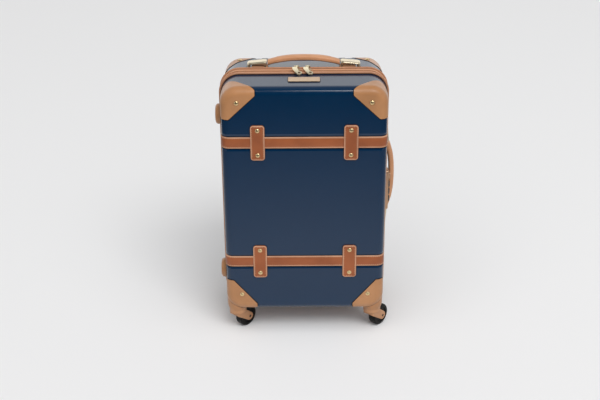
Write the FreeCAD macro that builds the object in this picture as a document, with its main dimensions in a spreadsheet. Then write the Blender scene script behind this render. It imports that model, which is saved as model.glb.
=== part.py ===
"""A cabin suitcase in the old trunk style: two glossy moulded shells joined by a zip,
with corner guards, belt straps, leather handles, a trolley handle and four casters.

Millimetres. +X is the case's right, +Y its back, +Z up. The floor is z = 0.
"""
import FreeCAD, Part
import math
import os

import Sketcher
from FreeCAD import Placement, Rotation, Vector

SIZES = {
    "CaseWidth": (339, "shell width at the rim"),
    "CaseHeight": (507.5, "shell height at the rim"),
    "ShellBottom": (59, "height of the rim's lower edge above the floor"),
    "FrontDepth": (96, "zip plane to the front face"),
    "RearDepth": (112, "zip plane to the back face"),
    "SplitY": (-8, "zip plane, so that the case is centred over the origin"),
    "RimGap": (7, "zip plane to the rim of either shell"),
    "Draft": (2, "mould draft of the shell walls, degrees"),
    "CornerRadius": (38, "corner radius of the shells seen from the front"),
    "EdgeRadius": (16, "round between the walls and the face of a shell"),
    "Wall": (3, "shell wall"),
    "SeatGap": (0.05, "glue line under what sits on a shell"),
    "StrapWidth": (25, "belt strap"),
    "StrapProud": (1.2, "belt strap above the shell"),
    "ChannelDepth": (1.2, "moulded channel that a belt or guard lies in"),
    "ChannelMargin": (1.6, "channel beyond each edge of a belt or guard"),
    "StrapUpper": (390, "upper belt above the rim's lower edge"),
    "StrapLower": (121, "lower belt above the rim's lower edge"),
    "StrapEnd": (20.5, "zip plane to the end of a belt"),
    "KeeperWidth": (31, "leather keeper over a belt"),
    "KeeperLength": (75.5, "leather keeper over a belt"),
    "KeeperThick": (3.4, "leather keeper over a belt"),
    "KeeperRound": (6, "keeper corner radius"),
    "KeeperX": (94, "keeper from the middle of the case"),
    "KeeperRivet": (26.5, "rivet from the middle of its keeper"),
    "RivetWidth": (9, "rivet head"),
    "RivetRise": (2, "rivet head"),
    "GuardProud": (0.9, "corner guard above the shell"),
    "GuardAcross": (68.5, "upper corner guard along X"),
    "GuardUp": (65, "upper corner guard along Z"),
    "LowGuardAcross": (64, "lower corner guard along X"),
    "LowGuardUp": (72, "lower corner guard along Z"),
    "GuardBack": (52, "corner guard along Y"),
    "GuardTip": (15, "blunt end of a guard's leg"),
    "GuardLip": (3, "depth of a guard's cross leg on the top"),
    "GuardRound": (4, "round of a guard's blunt corners"),
    "GuardRivetX": (134.5, "guard rivet from the middle of the case"),
    "GuardRivetUp": (30.5, "upper guard rivet from the shell's upper edge"),
    "LowGuardRivetUp": (37.8, "lower guard rivet from the shell's lower edge"),
    "GuardRivetBack": (27, "top guard rivet from the back face"),
    "CasterX": (146, "caster swivel axis from the middle"),
    "CasterInset": (27, "caster swivel axis behind the face of its shell"),
    "CasterYaw": (49, "direction that the wheels trail in, degrees"),
    "SocketLow": (54, "underside of a caster socket"),
    "SocketRadius": (19, "caster socket at its lower end"),
    "SocketTopRadius": (22, "caster socket at its upper end"),
    "SocketSwell": (16, "height over which the socket swells to its full radius"),
    "SocketHeight": (40, "caster socket"),
    "StemRadius": (8, "caster stem"),
    "StemHeight": (6, "caster stem"),
    "RunFit": (0.06, "radial clearance of a shaft that turns"),
    "SwivelGap": (0.3, "fork crown below its socket"),
    "CrownRadius": (18.5, "fork crown"),
    "CrownHeight": (8.5, "fork crown"),
    "ForkWidth": (27, "across the fork arms"),
    "ForkReach": (12.5, "fork arm either side of the swivel axis"),
    "ForkDrop": (16, "upright edge of a fork arm"),
    "ForkBoss": (9.5, "round end of a fork arm"),
    "WheelRadius": (24, "caster wheel"),
    "WheelWidth": (18, "caster wheel"),
    "WheelGap": (1.6, "wheel to fork"),
    "Trail": (23.5, "wheel axle behind the swivel axis"),
    "AxleRadius": (3, "wheel axle"),
    "TapeThick": (1, "zip tape"),
    "TapeReach": (13.6, "zip plane to the outer edge of the tape"),
    "CoilReach": (3.4, "zip plane to the outer edge of the coil"),
    "CoilRise": (3, "zip coil above the shell"),
    "PipingRadius": (2.3, "piping cord"),
    "PipingReach": (16.2, "zip plane to the middle of the piping"),
    "HingeRadius": (2.2, "folded hinge bead"),
    "LiningGap": (0.5, "lining to shell"),
    "LiningThick": (1.2, "lining"),
    "HandleY": (35, "top handle behind the zip plane"),
    "HandleSide": (56, "side handle behind the zip plane"),
    "HandleSideZ": (315, "middle of the side handle"),
    "HandleSpan": (148.6, "arch of a carry handle"),
    "HandleLength": (214, "carry handle with its end tabs"),
    "HandleWide": (19, "carry handle"),
    "HandleRise": (26, "top of the arch above the shell"),
    "HandleClear": (14, "underside of the arch above the shell"),
    "HandleEnd": (16, "top of the grip where it meets its loops"),
    "HandleEndLow": (3.6, "underside of the grip where it meets its loops"),
    "HandleSeat": (0.8, "end tabs above the shell"),
    "SideHandleOut": (2, "side handle drawn out of its seat"),
    "HandleRound": (4.5, "round of the grip's edges"),
    "TabThick": (4, "end tab of a carry handle"),
    "LoopX": (96, "handle loop from the middle of its handle"),
    "LoopLength": (42, "handle loop"),
    "LoopDepth": (24, "handle loop"),
    "LoopHeight": (14.8, "handle loop at the grip"),
    "LoopFar": (11, "handle loop at its far end"),
    "LoopWall": (2, "handle loop"),
    "PlateWidth": (64, "plain metal plate"),
    "PlateDepth": (24, "plain metal plate"),
    "PlateThick": (2.2, "plain metal plate"),
    "PlateY": (50, "plate in front of the zip plane"),
    "LockY": (31.5, "lock behind the zip plane"),
    "LockZ": (289.5, "middle of the lock"),
    "LockLength": (92, "lock housing"),
    "LockDepth": (24, "lock housing"),
    "LockProud": (13, "lock housing above the shell"),
    "DialRadius": (6.2, "combination dial"),
    "DialThick": (11, "combination dial"),
    "DialPitch": (17, "one dial to the next"),
    "DialFirst": (11, "upper dial above the middle of the lock"),
    "DialProud": (4, "dial above the lock housing"),
    "SpindleRadius": (1.6, "dial spindle"),
    "ButtonZ": (31.5, "lock button above the middle of the lock"),
    "ButtonLength": (12, "lock button"),
    "ButtonDepth": (14, "lock button"),
    "FootRadius": (20.5, "side foot"),
    "FootReach": (180, "outer face of the side feet from the middle of the case"),
    "FootRound": (6, "round of a side foot"),
    "FootY": (41, "side feet in front of the zip plane"),
    "FootUpper": (491.5, "upper side foot"),
    "FootLower": (136.5, "lower side foot"),
    "TrolleyX": (65, "trolley tube from the middle"),
    "TrolleyY": (97, "trolley tubes behind the zip plane"),
    "TubeWide": (22, "fixed trolley tube"),
    "TubeDeep": (14, "fixed trolley tube"),
    "TubeWall": (1, "trolley tubes"),
    "TubeGap": (0.2, "one trolley tube inside the next"),
    "TubeLow": (82, "lower end of the fixed tubes"),
    "TubeTop": (542.5, "upper end of the fixed tubes"),
    "BezelWide": (176, "trolley bezel"),
    "BezelDeep": (28, "trolley bezel"),
    "BezelProud": (0.9, "trolley bezel above the shell"),
    "GripWide": (153, "trolley grip"),
    "GripDeep": (20, "trolley grip"),
    "GripLow": (546.5, "underside of the trolley grip"),
    "SliderLeftX": (-14.5, "left zip slider"),
    "SliderRightX": (8, "right zip slider"),
    "SliderLength": (15, "zip slider"),
    "SliderWidth": (10, "zip slider"),
    "PullBarRise": (10.9, "zip slider's pull bar above the rim"),
    "PullThick": (1.8, "zip pull"),
    "PullReach": (25.5, "ring of a zip pull in front of its bar"),
    "PullSlant": (5.2, "ring of a zip pull aside of its bar"),
    "PullRing": (5.6, "ring at the end of a zip pull"),
    "PullHole": (2.7, "hole of the ring"),
}

doc = FreeCAD.newDocument("Suitcase")
sheet = doc.addObject("Spreadsheet::Sheet", "Sizes")
for row, (alias, (number, meaning)) in enumerate(SIZES.items(), start=1):
    sheet.set(f"A{row}", meaning)
    sheet.set(f"B{row}", str(number))
    sheet.setAlias(f"B{row}", alias)
doc.recompute()


class Size:
    """A number worked out from the sheet, with the expression that binds it to the sheet."""

    def __init__(self, number, text):
        self.number = float(number)
        self.text = text

    def joined(self, sign, other, number):
        return Size(number, f"({self.text} {sign} {sized(other).text})")

    def __add__(self, other):
        return self.joined("+", other, self.number + sized(other).number)

    def __sub__(self, other):
        return self.joined("-", other, self.number - sized(other).number)

    def __mul__(self, other):
        return self.joined("*", other, self.number * sized(other).number)

    def __truediv__(self, other):
        return self.joined("/", other, self.number / sized(other).number)

    def __neg__(self):
        return Size(-self.number, f"(-{self.text})")

    def __float__(self):
        return self.number


def sized(value):
    return value if isinstance(value, Size) else Size(value, repr(float(value)))


def cell(alias):
    return Size(sheet.get(alias), f"Sizes.{alias}")


def bind(thing, name, value):
    thing.setExpression(name, sized(value).text)


NOTHING = sized(0)
DRAFT = float(cell("Draft"))
SLOPE = math.tan(math.radians(DRAFT))
HALF_WIDTH = cell("CaseWidth") / 2
RIM_TOP = cell("ShellBottom") + cell("CaseHeight")
CROWN_TOP = cell("SocketLow") - cell("SwivelGap")
FRONT_FACE = cell("SplitY") - cell("FrontDepth")
BACK_FACE = cell("SplitY") + cell("RearDepth")
BAY_FRONT = cell("SplitY") + cell("TrolleyY") - 15
FAR = 400.0


def drop(distance):
    """How far a drafted wall has come in at this distance from the zip plane."""
    return (sized(distance) - cell("RimGap")) * SLOPE


# Sketches and features

def new_body(name):
    body = doc.addObject("PartDesign::Body", name)
    body.AllowCompound = True
    return body


def sketch_on(body, role, offset=NOTHING):
    plane = next(part for part in body.Origin.OriginFeatures if part.Role == role)
    sketch = body.newObject("Sketcher::SketchObject", f"{body.Name}_sketch")
    sketch.AttachmentSupport = (plane, [""])
    sketch.MapMode = "FlatFace"
    bind(sketch, "AttachmentOffset.Base.z", offset)
    return sketch


def hold(sketch, kind, *ends, value):
    """One dimension of a sketch, bound to the sheet."""
    index = sketch.addConstraint(Sketcher.Constraint(kind, *ends, float(value)))
    bind(sketch, f"Constraints[{index}]", value)


def hold_point(sketch, side, end, across, up):
    """Keep one end of a side at a place measured from the sketch's origin."""
    for kind, value in (("DistanceX", sized(across)), ("DistanceY", sized(up))):
        if value.number >= 0:
            hold(sketch, kind, -1, 1, side, end, value=value)
        else:
            hold(sketch, kind, side, end, -1, 1, value=-value)


def outline(sketch, corners, arcs=None):
    """A closed outline of straight sides, or of arcs with the radius given for a side's number.

    A positive radius bulges to the right of the way the side runs, a negative one to the left.
    """
    arcs = arcs or {}
    corners = [(sized(x), sized(y)) for x, y in corners]
    count = len(corners)
    points = [Vector(x.number, y.number, 0) for x, y in corners]
    first = sketch.GeometryCount
    starts = []
    for side in range(count):
        begin = points[side]
        end = points[(side + 1) % count]
        radius = arcs.get(side)
        if radius is None:
            sketch.addGeometry(Part.LineSegment(begin, end))
            starts.append((1, 2))
            continue
        chord = end - begin
        out = Vector(chord.y, -chord.x, 0).normalize()
        size = abs(float(radius))
        bulge = 1 if float(radius) > 0 else -1
        rise = size - math.sqrt(max(size ** 2 - (chord.Length / 2) ** 2, 0))
        middle = (begin + end) * 0.5 + out * rise * bulge
        sketch.addGeometry(Part.Arc(begin, middle, end))
        starts.append((1, 2) if bulge > 0 else (2, 1))
    for side in range(count):
        following = (side + 1) % count
        link = (first + side, starts[side][1], first + following, starts[following][0])
        sketch.addConstraint(Sketcher.Constraint("Coincident", *link))
    for side in range(count):
        hold_point(sketch, first + side, starts[side][0], *corners[side])
        if side in arcs:
            size = arcs[side] if float(arcs[side]) > 0 else -sized(arcs[side])
            hold(sketch, "Radius", first + side, value=sized(size))


def rectangle(sketch, left, low, right, high):
    outline(sketch, [(left, low), (right, low), (right, high), (left, high)])


def rounded(sketch, left, low, right, high, radius):
    """A rectangle with round corners."""
    left, low, right, high, radius = map(sized, (left, low, right, high, radius))
    corners = [(left + radius, low), (right - radius, low), (right, low + radius), (right, high - radius),
               (right - radius, high), (left + radius, high), (left, high - radius), (left, low + radius)]
    outline(sketch, corners, {side: radius for side in (1, 3, 5, 7)})


def circle(sketch, across, up, radius):
    centre = Vector(float(across), float(up), 0)
    index = sketch.addGeometry(Part.Circle(centre, Vector(0, 0, 1), float(radius)))
    hold_point(sketch, index, 3, across, up)
    hold(sketch, "Radius", index, value=sized(radius))


def feature(body, kind, sketch, length, reverse=False, middle=False):
    made = body.newObject(f"PartDesign::{kind}", f"{body.Name}_{kind.lower()}")
    made.Profile = sketch
    made.SideType = "Symmetric" if middle else "One side"
    made.Reversed = reverse
    bind(made, "Length", length)
    return made


def pad(body, sketch, length, reverse=False, middle=False):
    return feature(body, "Pad", sketch, length, reverse, middle)


def pocket(body, sketch, length, reverse=False, middle=False):
    doc.recompute()
    before = body.Shape.Volume
    made = feature(body, "Pocket", sketch, length, reverse, middle)
    doc.recompute()
    if body.Shape.Volume >= before - 1e-6:
        raise RuntimeError(f"{made.Name} cuts nothing")
    return made


def turn(body, profile):
    """Turn a profile about its sketch's upright axis."""
    made = body.newObject("PartDesign::Revolution", f"{body.Name}_turned")
    made.Profile = profile
    made.ReferenceAxis = (profile, ["V_Axis"])
    made.Angle = 360
    return made


def round_edges(body, radius, chosen):
    """Fillet the edges of the body's last feature that the test picks."""
    doc.recompute()
    base = body.Tip
    names = [f"Edge{n}" for n, edge in enumerate(base.Shape.Edges, start=1) if chosen(edge)]
    fillet = body.newObject("PartDesign::Fillet", f"{body.Name}_fillet")
    fillet.Base = (base, names)
    bind(fillet, "Radius", radius)
    doc.recompute()
    return fillet


def lies_at(axis, value):
    """A test for edges that lie in the plane where this coordinate has this value."""
    def test(edge):
        box = edge.BoundBox
        low, high = getattr(box, f"{axis}Min"), getattr(box, f"{axis}Max")
        return abs(low - float(value)) < 1e-3 and abs(high - float(value)) < 1e-3
    return test


def box(name, low, high):
    made = doc.addObject("Part::Box", name)
    low, high = list(map(sized, low)), list(map(sized, high))
    for place, dimension, begin, end in zip("xyz", ("Length", "Width", "Height"), low, high):
        bind(made, f"Placement.Base.{place}", begin)
        bind(made, dimension, end - begin)
    return made


def tube_solid(name, radius, length, place):
    made = doc.addObject("Part::Cylinder", name)
    bind(made, "Radius", radius)
    bind(made, "Height", length)
    made.Placement = place
    return made


def boolean(kind, name, base, tool):
    made = doc.addObject(f"Part::{kind}", name)
    made.Base = base
    made.Tool = tool
    made.Refine = True
    return made


def together(name, things):
    made = doc.addObject("Part::Compound", name)
    made.Links = things
    return made


def mirrored(name, source):
    """The same piece on the other side of the case's middle plane."""
    made = doc.addObject("Part::Mirroring", name)
    made.Source = source
    made.Normal = Vector(1, 0, 0)
    return made


def copies(name, source, places):
    """One node that holds the same piece at several places."""
    links = []
    for number, place in enumerate(places):
        link = doc.addObject("App::Link", f"{name}_{number}")
        link.LinkedObject = source
        link.LinkTransform = False
        link.Placement = place
        links.append(link)
    return together(name, links)


NODES = []


def node(thing, label):
    thing.Label = label
    NODES.append(thing)
    return thing


# Shell forms: the drafted, rounded block of either half, grown or shrunk by a margin

SIDES = {"front": (cell("FrontDepth"), -1), "rear": (cell("RearDepth"), 1)}
known_forms = {}


def form(half, grow):
    grow = sized(grow)
    key = (half, grow.text)
    if key in known_forms:
        return known_forms[key]
    depth, way = SIDES[half]
    body = new_body(f"{half}_form_{len(known_forms)}")
    rim = cell("SplitY") + cell("RimGap") * way
    sketch = sketch_on(body, "XZ_Plane", -rim)
    rounded(sketch, -HALF_WIDTH - grow, cell("ShellBottom") - grow, HALF_WIDTH + grow, RIM_TOP + grow,
            cell("CornerRadius") + grow)
    block = pad(body, sketch, depth - cell("RimGap") + grow, reverse=way > 0)
    bind(block, "TaperAngle", -cell("Draft"))
    face = cell("SplitY") + (depth + grow) * way
    round_edges(body, cell("EdgeRadius") + grow, lies_at("Y", face))
    known_forms[key] = body
    return body


def skin(name, half, outer, inner):
    """The layer between two forms of the same half."""
    return boolean("Cut", name, form(half, outer), form(half, inner))


def belt_slabs(name, half, margin, end):
    """Blocks that take the two belts, or their channels, out of a layer."""
    depth, way = SIDES[half]
    near = cell("SplitY") + sized(end) * way
    far = cell("SplitY") + (depth + FAR / 10) * way
    low, high = (far, near) if way < 0 else (near, far)
    slabs = []
    for level in ("StrapUpper", "StrapLower"):
        middle = cell("ShellBottom") + cell(level)
        half_width = cell("StrapWidth") / 2 + margin
        bottom, top = middle - half_width, middle + half_width
        slabs.append(box(f"{name}_{level}", (-FAR, low, bottom), (FAR, high, top)))
    return together(f"{name}_slabs", slabs)


def wall_place(half, side, along, depth_y, rise=0.0):
    """A frame on a shell's outer wall: its z axis points out of the wall.

    side is "top", "right" or "left"; along runs in X on the top and in Z on the sides.
    """
    way = SIDES[half][1]
    y = float(cell("SplitY")) + way * depth_y
    inset = float(drop(depth_y))
    if side == "top":
        place = Vector(along, y, float(RIM_TOP) - inset + rise)
        return Placement(place, Rotation(Vector(1, 0, 0), -way * DRAFT))
    x = float(HALF_WIDTH) - inset + rise
    turn = Rotation(Vector(0, 0, 1), way * DRAFT)
    if side == "left":
        return Placement(Vector(-x, y, along), Rotation(Vector(0, 0, 1), 180 - way * DRAFT))
    return Placement(Vector(x, y, along), turn)


# Corner guards lie within the outlines that are seen along the three axes

def corner_prism(body, role, corner, legs, tips):
    """A prism over a corner: two legs along the sketch's axes, with blunt, rounded ends."""
    sketch = sketch_on(body, role)
    (x, y), (leg_x, leg_y), (tip_x, tip_y) = corner, legs, tips
    outline(sketch, [(x, y), (x - leg_x, y), (x - leg_x, y - tip_y), (x - tip_x, y - leg_y), (x, y - leg_y)])
    pad(body, sketch, sized(3 * FAR), middle=True)
    round_edges(body, cell("GuardRound"), lambda edge: edge.Length > FAR)


def within_guard(name, half, level, layer, margin):
    """The part of a layer inside a right-hand guard's outlines, with a margin round them."""
    depth, way = SIDES[half]
    top = level == "top"
    up_way = 1 if top else -1
    spare = sized(20)
    side_x = HALF_WIDTH - drop(float(depth)) + spare
    side_y = cell("SplitY") + (depth + spare) * way
    side_z = (RIM_TOP if top else cell("ShellBottom")) + (spare - drop(float(depth))) * up_way
    reach = spare + margin
    across = (cell("GuardAcross") if top else cell("LowGuardAcross")) + reach
    up = ((cell("GuardUp") if top else cell("LowGuardUp")) + reach) * up_way
    back = (cell("GuardBack") + reach) * way
    mitre = spare + sized(margin) * math.tan(math.radians(22.5))
    tip, lip, fin = cell("GuardTip") + mitre, cell("GuardLip") + mitre, cell("GuardTip") / 2 + mitre
    for role, corner, legs, tips in (
        ("XZ_Plane", (side_x, side_z), (across, up), (tip, tip * up_way)),
        ("XY_Plane", (side_x, side_y), (across, back), (tip, lip * way)),
        ("YZ_Plane", (side_y, side_z), (back, up), (fin * way, tip * up_way)),
    ):
        body = new_body(f"{name}_{role}")
        corner_prism(body, role, corner, legs, tips)
        layer = boolean("Common", f"{name}_in_{role}", layer, body)
    return layer


def make_guard(half, level):
    """A guard for the right-hand corner; the left one is its mirror image."""
    name = f"guard_{half}_{level}"
    layer = skin(f"{name}_layer", half, cell("GuardProud"), cell("SeatGap") - cell("ChannelDepth"))
    return within_guard(name, half, level, layer, NOTHING)


# Moulded shells with channels for the belts and seats for the guards, and the belts

def make_shell(half):
    hollow = skin(f"{half}_hollow", half, 0, -cell("Wall"))
    groove = skin(f"{half}_groove", half, 1, -cell("ChannelDepth"))
    slabs = belt_slabs(f"{half}_channel", half, cell("ChannelMargin"), cell("RimGap"))
    hollows = [boolean("Common", f"{half}_channels", groove, slabs)]
    for level in ("top", "low"):
        name = f"{half}_{level}_seat"
        seat = within_guard(name, half, level, groove, cell("ChannelMargin"))
        hollows += [seat, mirrored(f"{name}_mirror", seat)]
    return boolean("Cut", f"{half}_shell_body", hollow, together(f"{half}_hollows", hollows))


def make_straps(half):
    layer = skin(f"{half}_strap_layer", half, cell("StrapProud"), cell("SeatGap") - cell("ChannelDepth"))
    slabs = belt_slabs(f"{half}_strap", half, 0, cell("StrapEnd"))
    return node(boolean("Common", f"{half}_strap_pair", layer, slabs), f"{half}_straps")


def make_keepers(half):
    """Four stitched leather keepers, hollowed underneath for the belt."""
    way = SIDES[half][1]
    body = new_body(f"{half}_keeper")
    across, along = cell("KeeperWidth") / 2, cell("KeeperLength") / 2
    flat = sketch_on(body, "XZ_Plane")
    rounded(flat, -across, -along, across, along, cell("KeeperRound"))
    pad(body, flat, cell("KeeperThick"))
    round_edges(body, 1.0, lies_at("Y", -cell("KeeperThick")))
    belt = sketch_on(body, "XZ_Plane")
    room = cell("StrapWidth") / 2 + 0.3
    rectangle(belt, -across - 1, -room, across + 1, room)
    pocket(body, belt, cell("StrapProud") + cell("SeatGap"), reverse=True)
    turn = Rotation(Vector(0, 0, 1), 0 if way < 0 else 180)
    face = float(FRONT_FACE) if way < 0 else float(BACK_FACE)
    y = face + way * float(cell("SeatGap"))
    places = []
    for level in ("StrapUpper", "StrapLower"):
        for side in (-1, 1):
            z = float(cell("ShellBottom") + cell(level))
            places.append(Placement(Vector(side * float(cell("KeeperX")), y, z), turn))
    node(copies(f"{half}_keeper_set", body, places), f"{half}_keepers")


# Lower guards with the sockets of the casters

def caster_axis(half, side):
    depth, way = SIDES[half]
    y = cell("SplitY") + (depth - cell("CasterInset")) * way
    return Vector(side * float(cell("CasterX")), float(y), 0)


def make_caster_guard(half):
    """A lower guard that runs down into the socket of its caster."""
    name = f"caster_guard_{half}"
    guard = make_guard(half, "low")
    axis = caster_axis(half, 1)
    socket = new_body(f"{name}_socket")
    foot, full = cell("SocketRadius"), cell("SocketTopRadius")
    swell, height = cell("SocketSwell"), cell("SocketHeight")
    profile = sketch_on(socket, "XZ_Plane")
    curve = ((full - foot) * (full - foot) + swell * swell) / ((full - foot) * 2)
    outline(profile, [(0, 0), (foot, 0), (full, swell), (full, height), (0, height)], {1: curve})
    turn(socket, profile)
    socket.Placement = Placement(axis + Vector(0, 0, float(cell("SocketLow"))), Rotation())
    below = boolean("Cut", f"{name}_below", socket, form(half, cell("SeatGap")))
    whole = boolean("Fuse", f"{name}_whole", guard, below)
    bore_place = Placement(axis + Vector(0, 0, float(cell("SocketLow")) - 1), Rotation())
    bore_radius, bore_length = cell("StemRadius") + cell("RunFit"), cell("StemHeight") + 1.3
    bore = tube_solid(f"{name}_bore", bore_radius, bore_length, bore_place)
    return boolean("Cut", f"{name}_bored", whole, bore)


# Casters

def tangent_point(start, centre, radius, turn):
    """Where a line from a point touches a circle, on the side that turn (1 or -1) names."""
    way = centre - start
    reach = math.sqrt(way.Length ** 2 - radius ** 2)
    angle = math.atan2(way.y, way.x) + turn * math.asin(radius / way.Length)
    return start + Vector(math.cos(angle), math.sin(angle), 0) * reach


def fork_outline(sketch, crown_low, boss):
    """Side view of a fork: a crown whose arms run down, tangent to the round boss at the axle."""
    reach, drop_low = cell("ForkReach"), CROWN_TOP - cell("ForkDrop")
    corners = [(-reach, CROWN_TOP), (-reach, drop_low), (reach, crown_low), (reach, CROWN_TOP)]
    points = [Vector(float(x), float(z), 0) for x, z in corners]
    hub = Vector(float(cell("Trail")), float(cell("WheelRadius")), 0)
    lower = tangent_point(points[1], hub, float(boss), -1)
    upper = tangent_point(points[2], hub, float(boss), 1)
    bottom = hub - Vector(0, float(boss), 0)
    for begin, end in ((points[0], points[1]), (points[1], lower)):
        sketch.addGeometry(Part.LineSegment(begin, end))
    sketch.addGeometry(Part.Arc(lower, bottom, upper))
    for begin, end in ((upper, points[2]), (points[2], points[3]), (points[3], points[0])):
        sketch.addGeometry(Part.LineSegment(begin, end))
    for before, after in ((0, 1), (3, 4), (4, 5), (5, 0)):
        sketch.addConstraint(Sketcher.Constraint("Coincident", before, 2, after, 1))
    for before, after in ((1, 2), (2, 3)):
        sketch.addConstraint(Sketcher.Constraint("Tangent", before, 2, after, 1))
    for side, corner in zip((0, 1, 4, 5), corners):
        hold_point(sketch, side, 1, *corner)
    hold_point(sketch, 2, 3, cell("Trail"), cell("WheelRadius"))
    hold(sketch, "Radius", 2, value=boss)


def make_fork(name):
    """A fork that trails along its own +X: crown, stem and two arms with round ends."""
    body = new_body(name)
    radius, boss = cell("CrownRadius"), cell("ForkBoss")
    crown_low = CROWN_TOP - cell("CrownHeight")
    trail, axle = cell("Trail"), cell("WheelRadius")
    side = sketch_on(body, "XZ_Plane")
    fork_outline(side, crown_low, boss)
    arms = pad(body, side, cell("ForkWidth"), middle=True)
    arms.Label = f"{name}_arms"
    half = float(cell("ForkWidth")) / 2
    round_edges(body, 1.6, lambda edge: lies_at("Y", half)(edge) or lies_at("Y", -half)(edge))
    crown = sketch_on(body, "XY_Plane", crown_low)
    circle(crown, 0, 0, radius)
    pad(body, crown, cell("CrownHeight"))
    stem = sketch_on(body, "XY_Plane", CROWN_TOP)
    circle(stem, 0, 0, cell("StemRadius"))
    pad(body, stem, cell("StemHeight"))
    room = sketch_on(body, "XZ_Plane")
    circle(room, trail, axle, cell("WheelRadius") + cell("WheelGap"))
    pocket(body, room, cell("WheelWidth") + 2, middle=True)
    hole = sketch_on(body, "XZ_Plane")
    circle(hole, trail, axle, cell("AxleRadius"))
    pocket(body, hole, cell("ForkWidth") + 2, middle=True)
    return body


def make_wheel(name):
    """A crowned wheel with a hub and dished sides; its axle is its own Y axis."""
    body = new_body(name)
    half, rim = cell("WheelWidth") / 2, cell("WheelRadius")
    bore = cell("AxleRadius") + cell("RunFit")
    hub, dish, shoulder = bore + 5, rim - 6.5, sized(3.5)
    web = half - 2.2
    profile = sketch_on(body, "XY_Plane")
    outline(profile, [(bore, -half), (hub, -half), (hub + 1.5, -web), (dish - 1.5, -web), (dish, -half),
                      (rim - shoulder, -half), (rim, -half + shoulder), (rim, half - shoulder),
                      (rim - shoulder, half), (dish, half), (dish - 1.5, web), (hub + 1.5, web), (hub, half),
                      (bore, half)], {5: shoulder, 7: shoulder})
    turn(body, profile)
    return body


def make_caster(half, side_name, side):
    tag = f"{half}_{side_name}"
    yaw = Rotation(Vector(0, 0, 1), float(cell("CasterYaw")))
    place = Placement(caster_axis(half, side), yaw)
    fork = make_fork(f"fork_{tag}")
    fork.Placement = place
    hub = Placement(Vector(float(cell("Trail")), 0, float(cell("WheelRadius"))), Rotation())
    wheel = make_wheel(f"wheel_{tag}")
    wheel.Placement = place.multiply(hub)
    length = cell("ForkWidth") - 2
    lying = Placement(Vector(0, float(length) / 2, 0), Rotation(Vector(1, 0, 0), 90))
    axle = tube_solid(f"axle_{tag}", cell("AxleRadius"), length, place.multiply(hub).multiply(lying))
    node(fork, f"caster_fork_{tag}")
    node(wheel, f"caster_wheel_{tag}")
    node(axle, f"caster_axle_{tag}")


# Zip band: a tape with its half of the coil on each shell, and a piping cord along its edge

def ring(body, half, near, far, inside, outside):
    """A band round the rim of a shell, from one distance off the zip plane to another."""
    way = SIDES[half][1]
    start = cell("SplitY") + sized(near) * way
    sketch = sketch_on(body, "XZ_Plane", -start)
    for margin in (sized(outside), sized(inside)):
        side, corner = HALF_WIDTH + margin, cell("CornerRadius") + margin
        rounded(sketch, -side, cell("ShellBottom") - margin, side, RIM_TOP + margin, corner)
    pad(body, sketch, sized(far) - near, reverse=way > 0)


def make_zip_half(half):
    """The left side is the hinge: there the coil gives way to the folded bead."""
    way = SIDES[half][1]
    body = new_body(f"{half}_zip")
    split = sized(0.15)
    ring(body, half, 1.2, cell("TapeReach"), cell("SeatGap"), cell("TapeThick"))
    ring(body, half, split, cell("CoilReach"), cell("SeatGap"), cell("CoilRise"))
    relief = sketch_on(body, "XZ_Plane", -cell("SplitY"))
    run = cell("CornerRadius") - 11
    rectangle(relief, -HALF_WIDTH - 10, cell("ShellBottom") + run, -HALF_WIDTH + 10, RIM_TOP - run)
    pocket(body, relief, cell("CoilReach") + 0.2, reverse=way < 0)
    node(body, f"{half}_zip_tape")


def make_piping(half):
    way = SIDES[half][1]
    body = new_body(f"{half}_cord")
    offset = cell("SplitY") + cell("PipingReach") * way
    lift = cell("PipingRadius") - 0.2
    path = sketch_on(body, "XZ_Plane", -offset)
    rounded(path, -HALF_WIDTH - lift, cell("ShellBottom") - lift, HALF_WIDTH + lift, RIM_TOP + lift,
            cell("CornerRadius") + lift)
    section = sketch_on(body, "YZ_Plane")
    circle(section, offset, RIM_TOP + lift, cell("PipingRadius"))
    swept = body.newObject("PartDesign::AdditivePipe", f"{half}_piping_sweep")
    swept.Profile = section
    swept.Spine = path
    node(body, f"{half}_piping")


def make_hinge_bead():
    run = cell("CornerRadius") + 8
    x, low = -float(HALF_WIDTH + cell("HingeRadius")), float(cell("ShellBottom") + run)
    place = Placement(Vector(x, float(cell("SplitY")), low), Rotation())
    bead = tube_solid("bead", cell("HingeRadius"), cell("CaseHeight") - run * 2, place)
    node(bead, "hinge_bead")


# Linings, with a bay in the back one for the trolley tubes

def make_lining(half):
    outer = -cell("Wall") - cell("LiningGap")
    inner = outer - cell("LiningThick")
    if half == "front":
        node(skin("front_cloth", half, outer, inner), "front_lining")
        return
    cloth = cell("LiningThick")
    shapes = []
    for name, grow, margin in (("lining_outside", outer, NOTHING), ("lining_inside", inner, cloth)):
        bay_half, bay_front = cell("BezelWide") / 2 + 4 + margin, BAY_FRONT - margin
        bay = box(f"{name}_bay", (-bay_half, bay_front, -FAR), (bay_half, FAR, 2 * FAR))
        shapes.append(boolean("Cut", name, form(half, grow), bay))
    node(boolean("Cut", "rear_cloth", *shapes), "rear_lining")


def make_packing_strap():
    """An elastic strap across the back half, with its clip in the middle."""
    front = BAY_FRONT - cell("LiningThick")
    reach = HALF_WIDTH - cell("Wall") - cell("LiningGap") - cell("LiningThick") - drop(90) - 0.3
    middle = cell("ShellBottom") + cell("CaseHeight") / 2
    half = cell("StrapWidth") / 2
    strap = box("elastic", (-reach, front - 2, middle - half), (reach, front - 0.6, middle + half))
    node(strap, "packing_strap")
    clip = new_body("clip")
    flat = sketch_on(clip, "XZ_Plane")
    rounded(flat, -24, -17, 24, 17, 5)
    pad(clip, flat, 6)
    round_edges(clip, 1.5, lies_at("Y", -6))
    clip.Placement = Placement(Vector(0, float(front) - 2.1, float(middle)), Rotation())
    node(clip, "packing_clip")


# Carry handles and their metal loops

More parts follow.
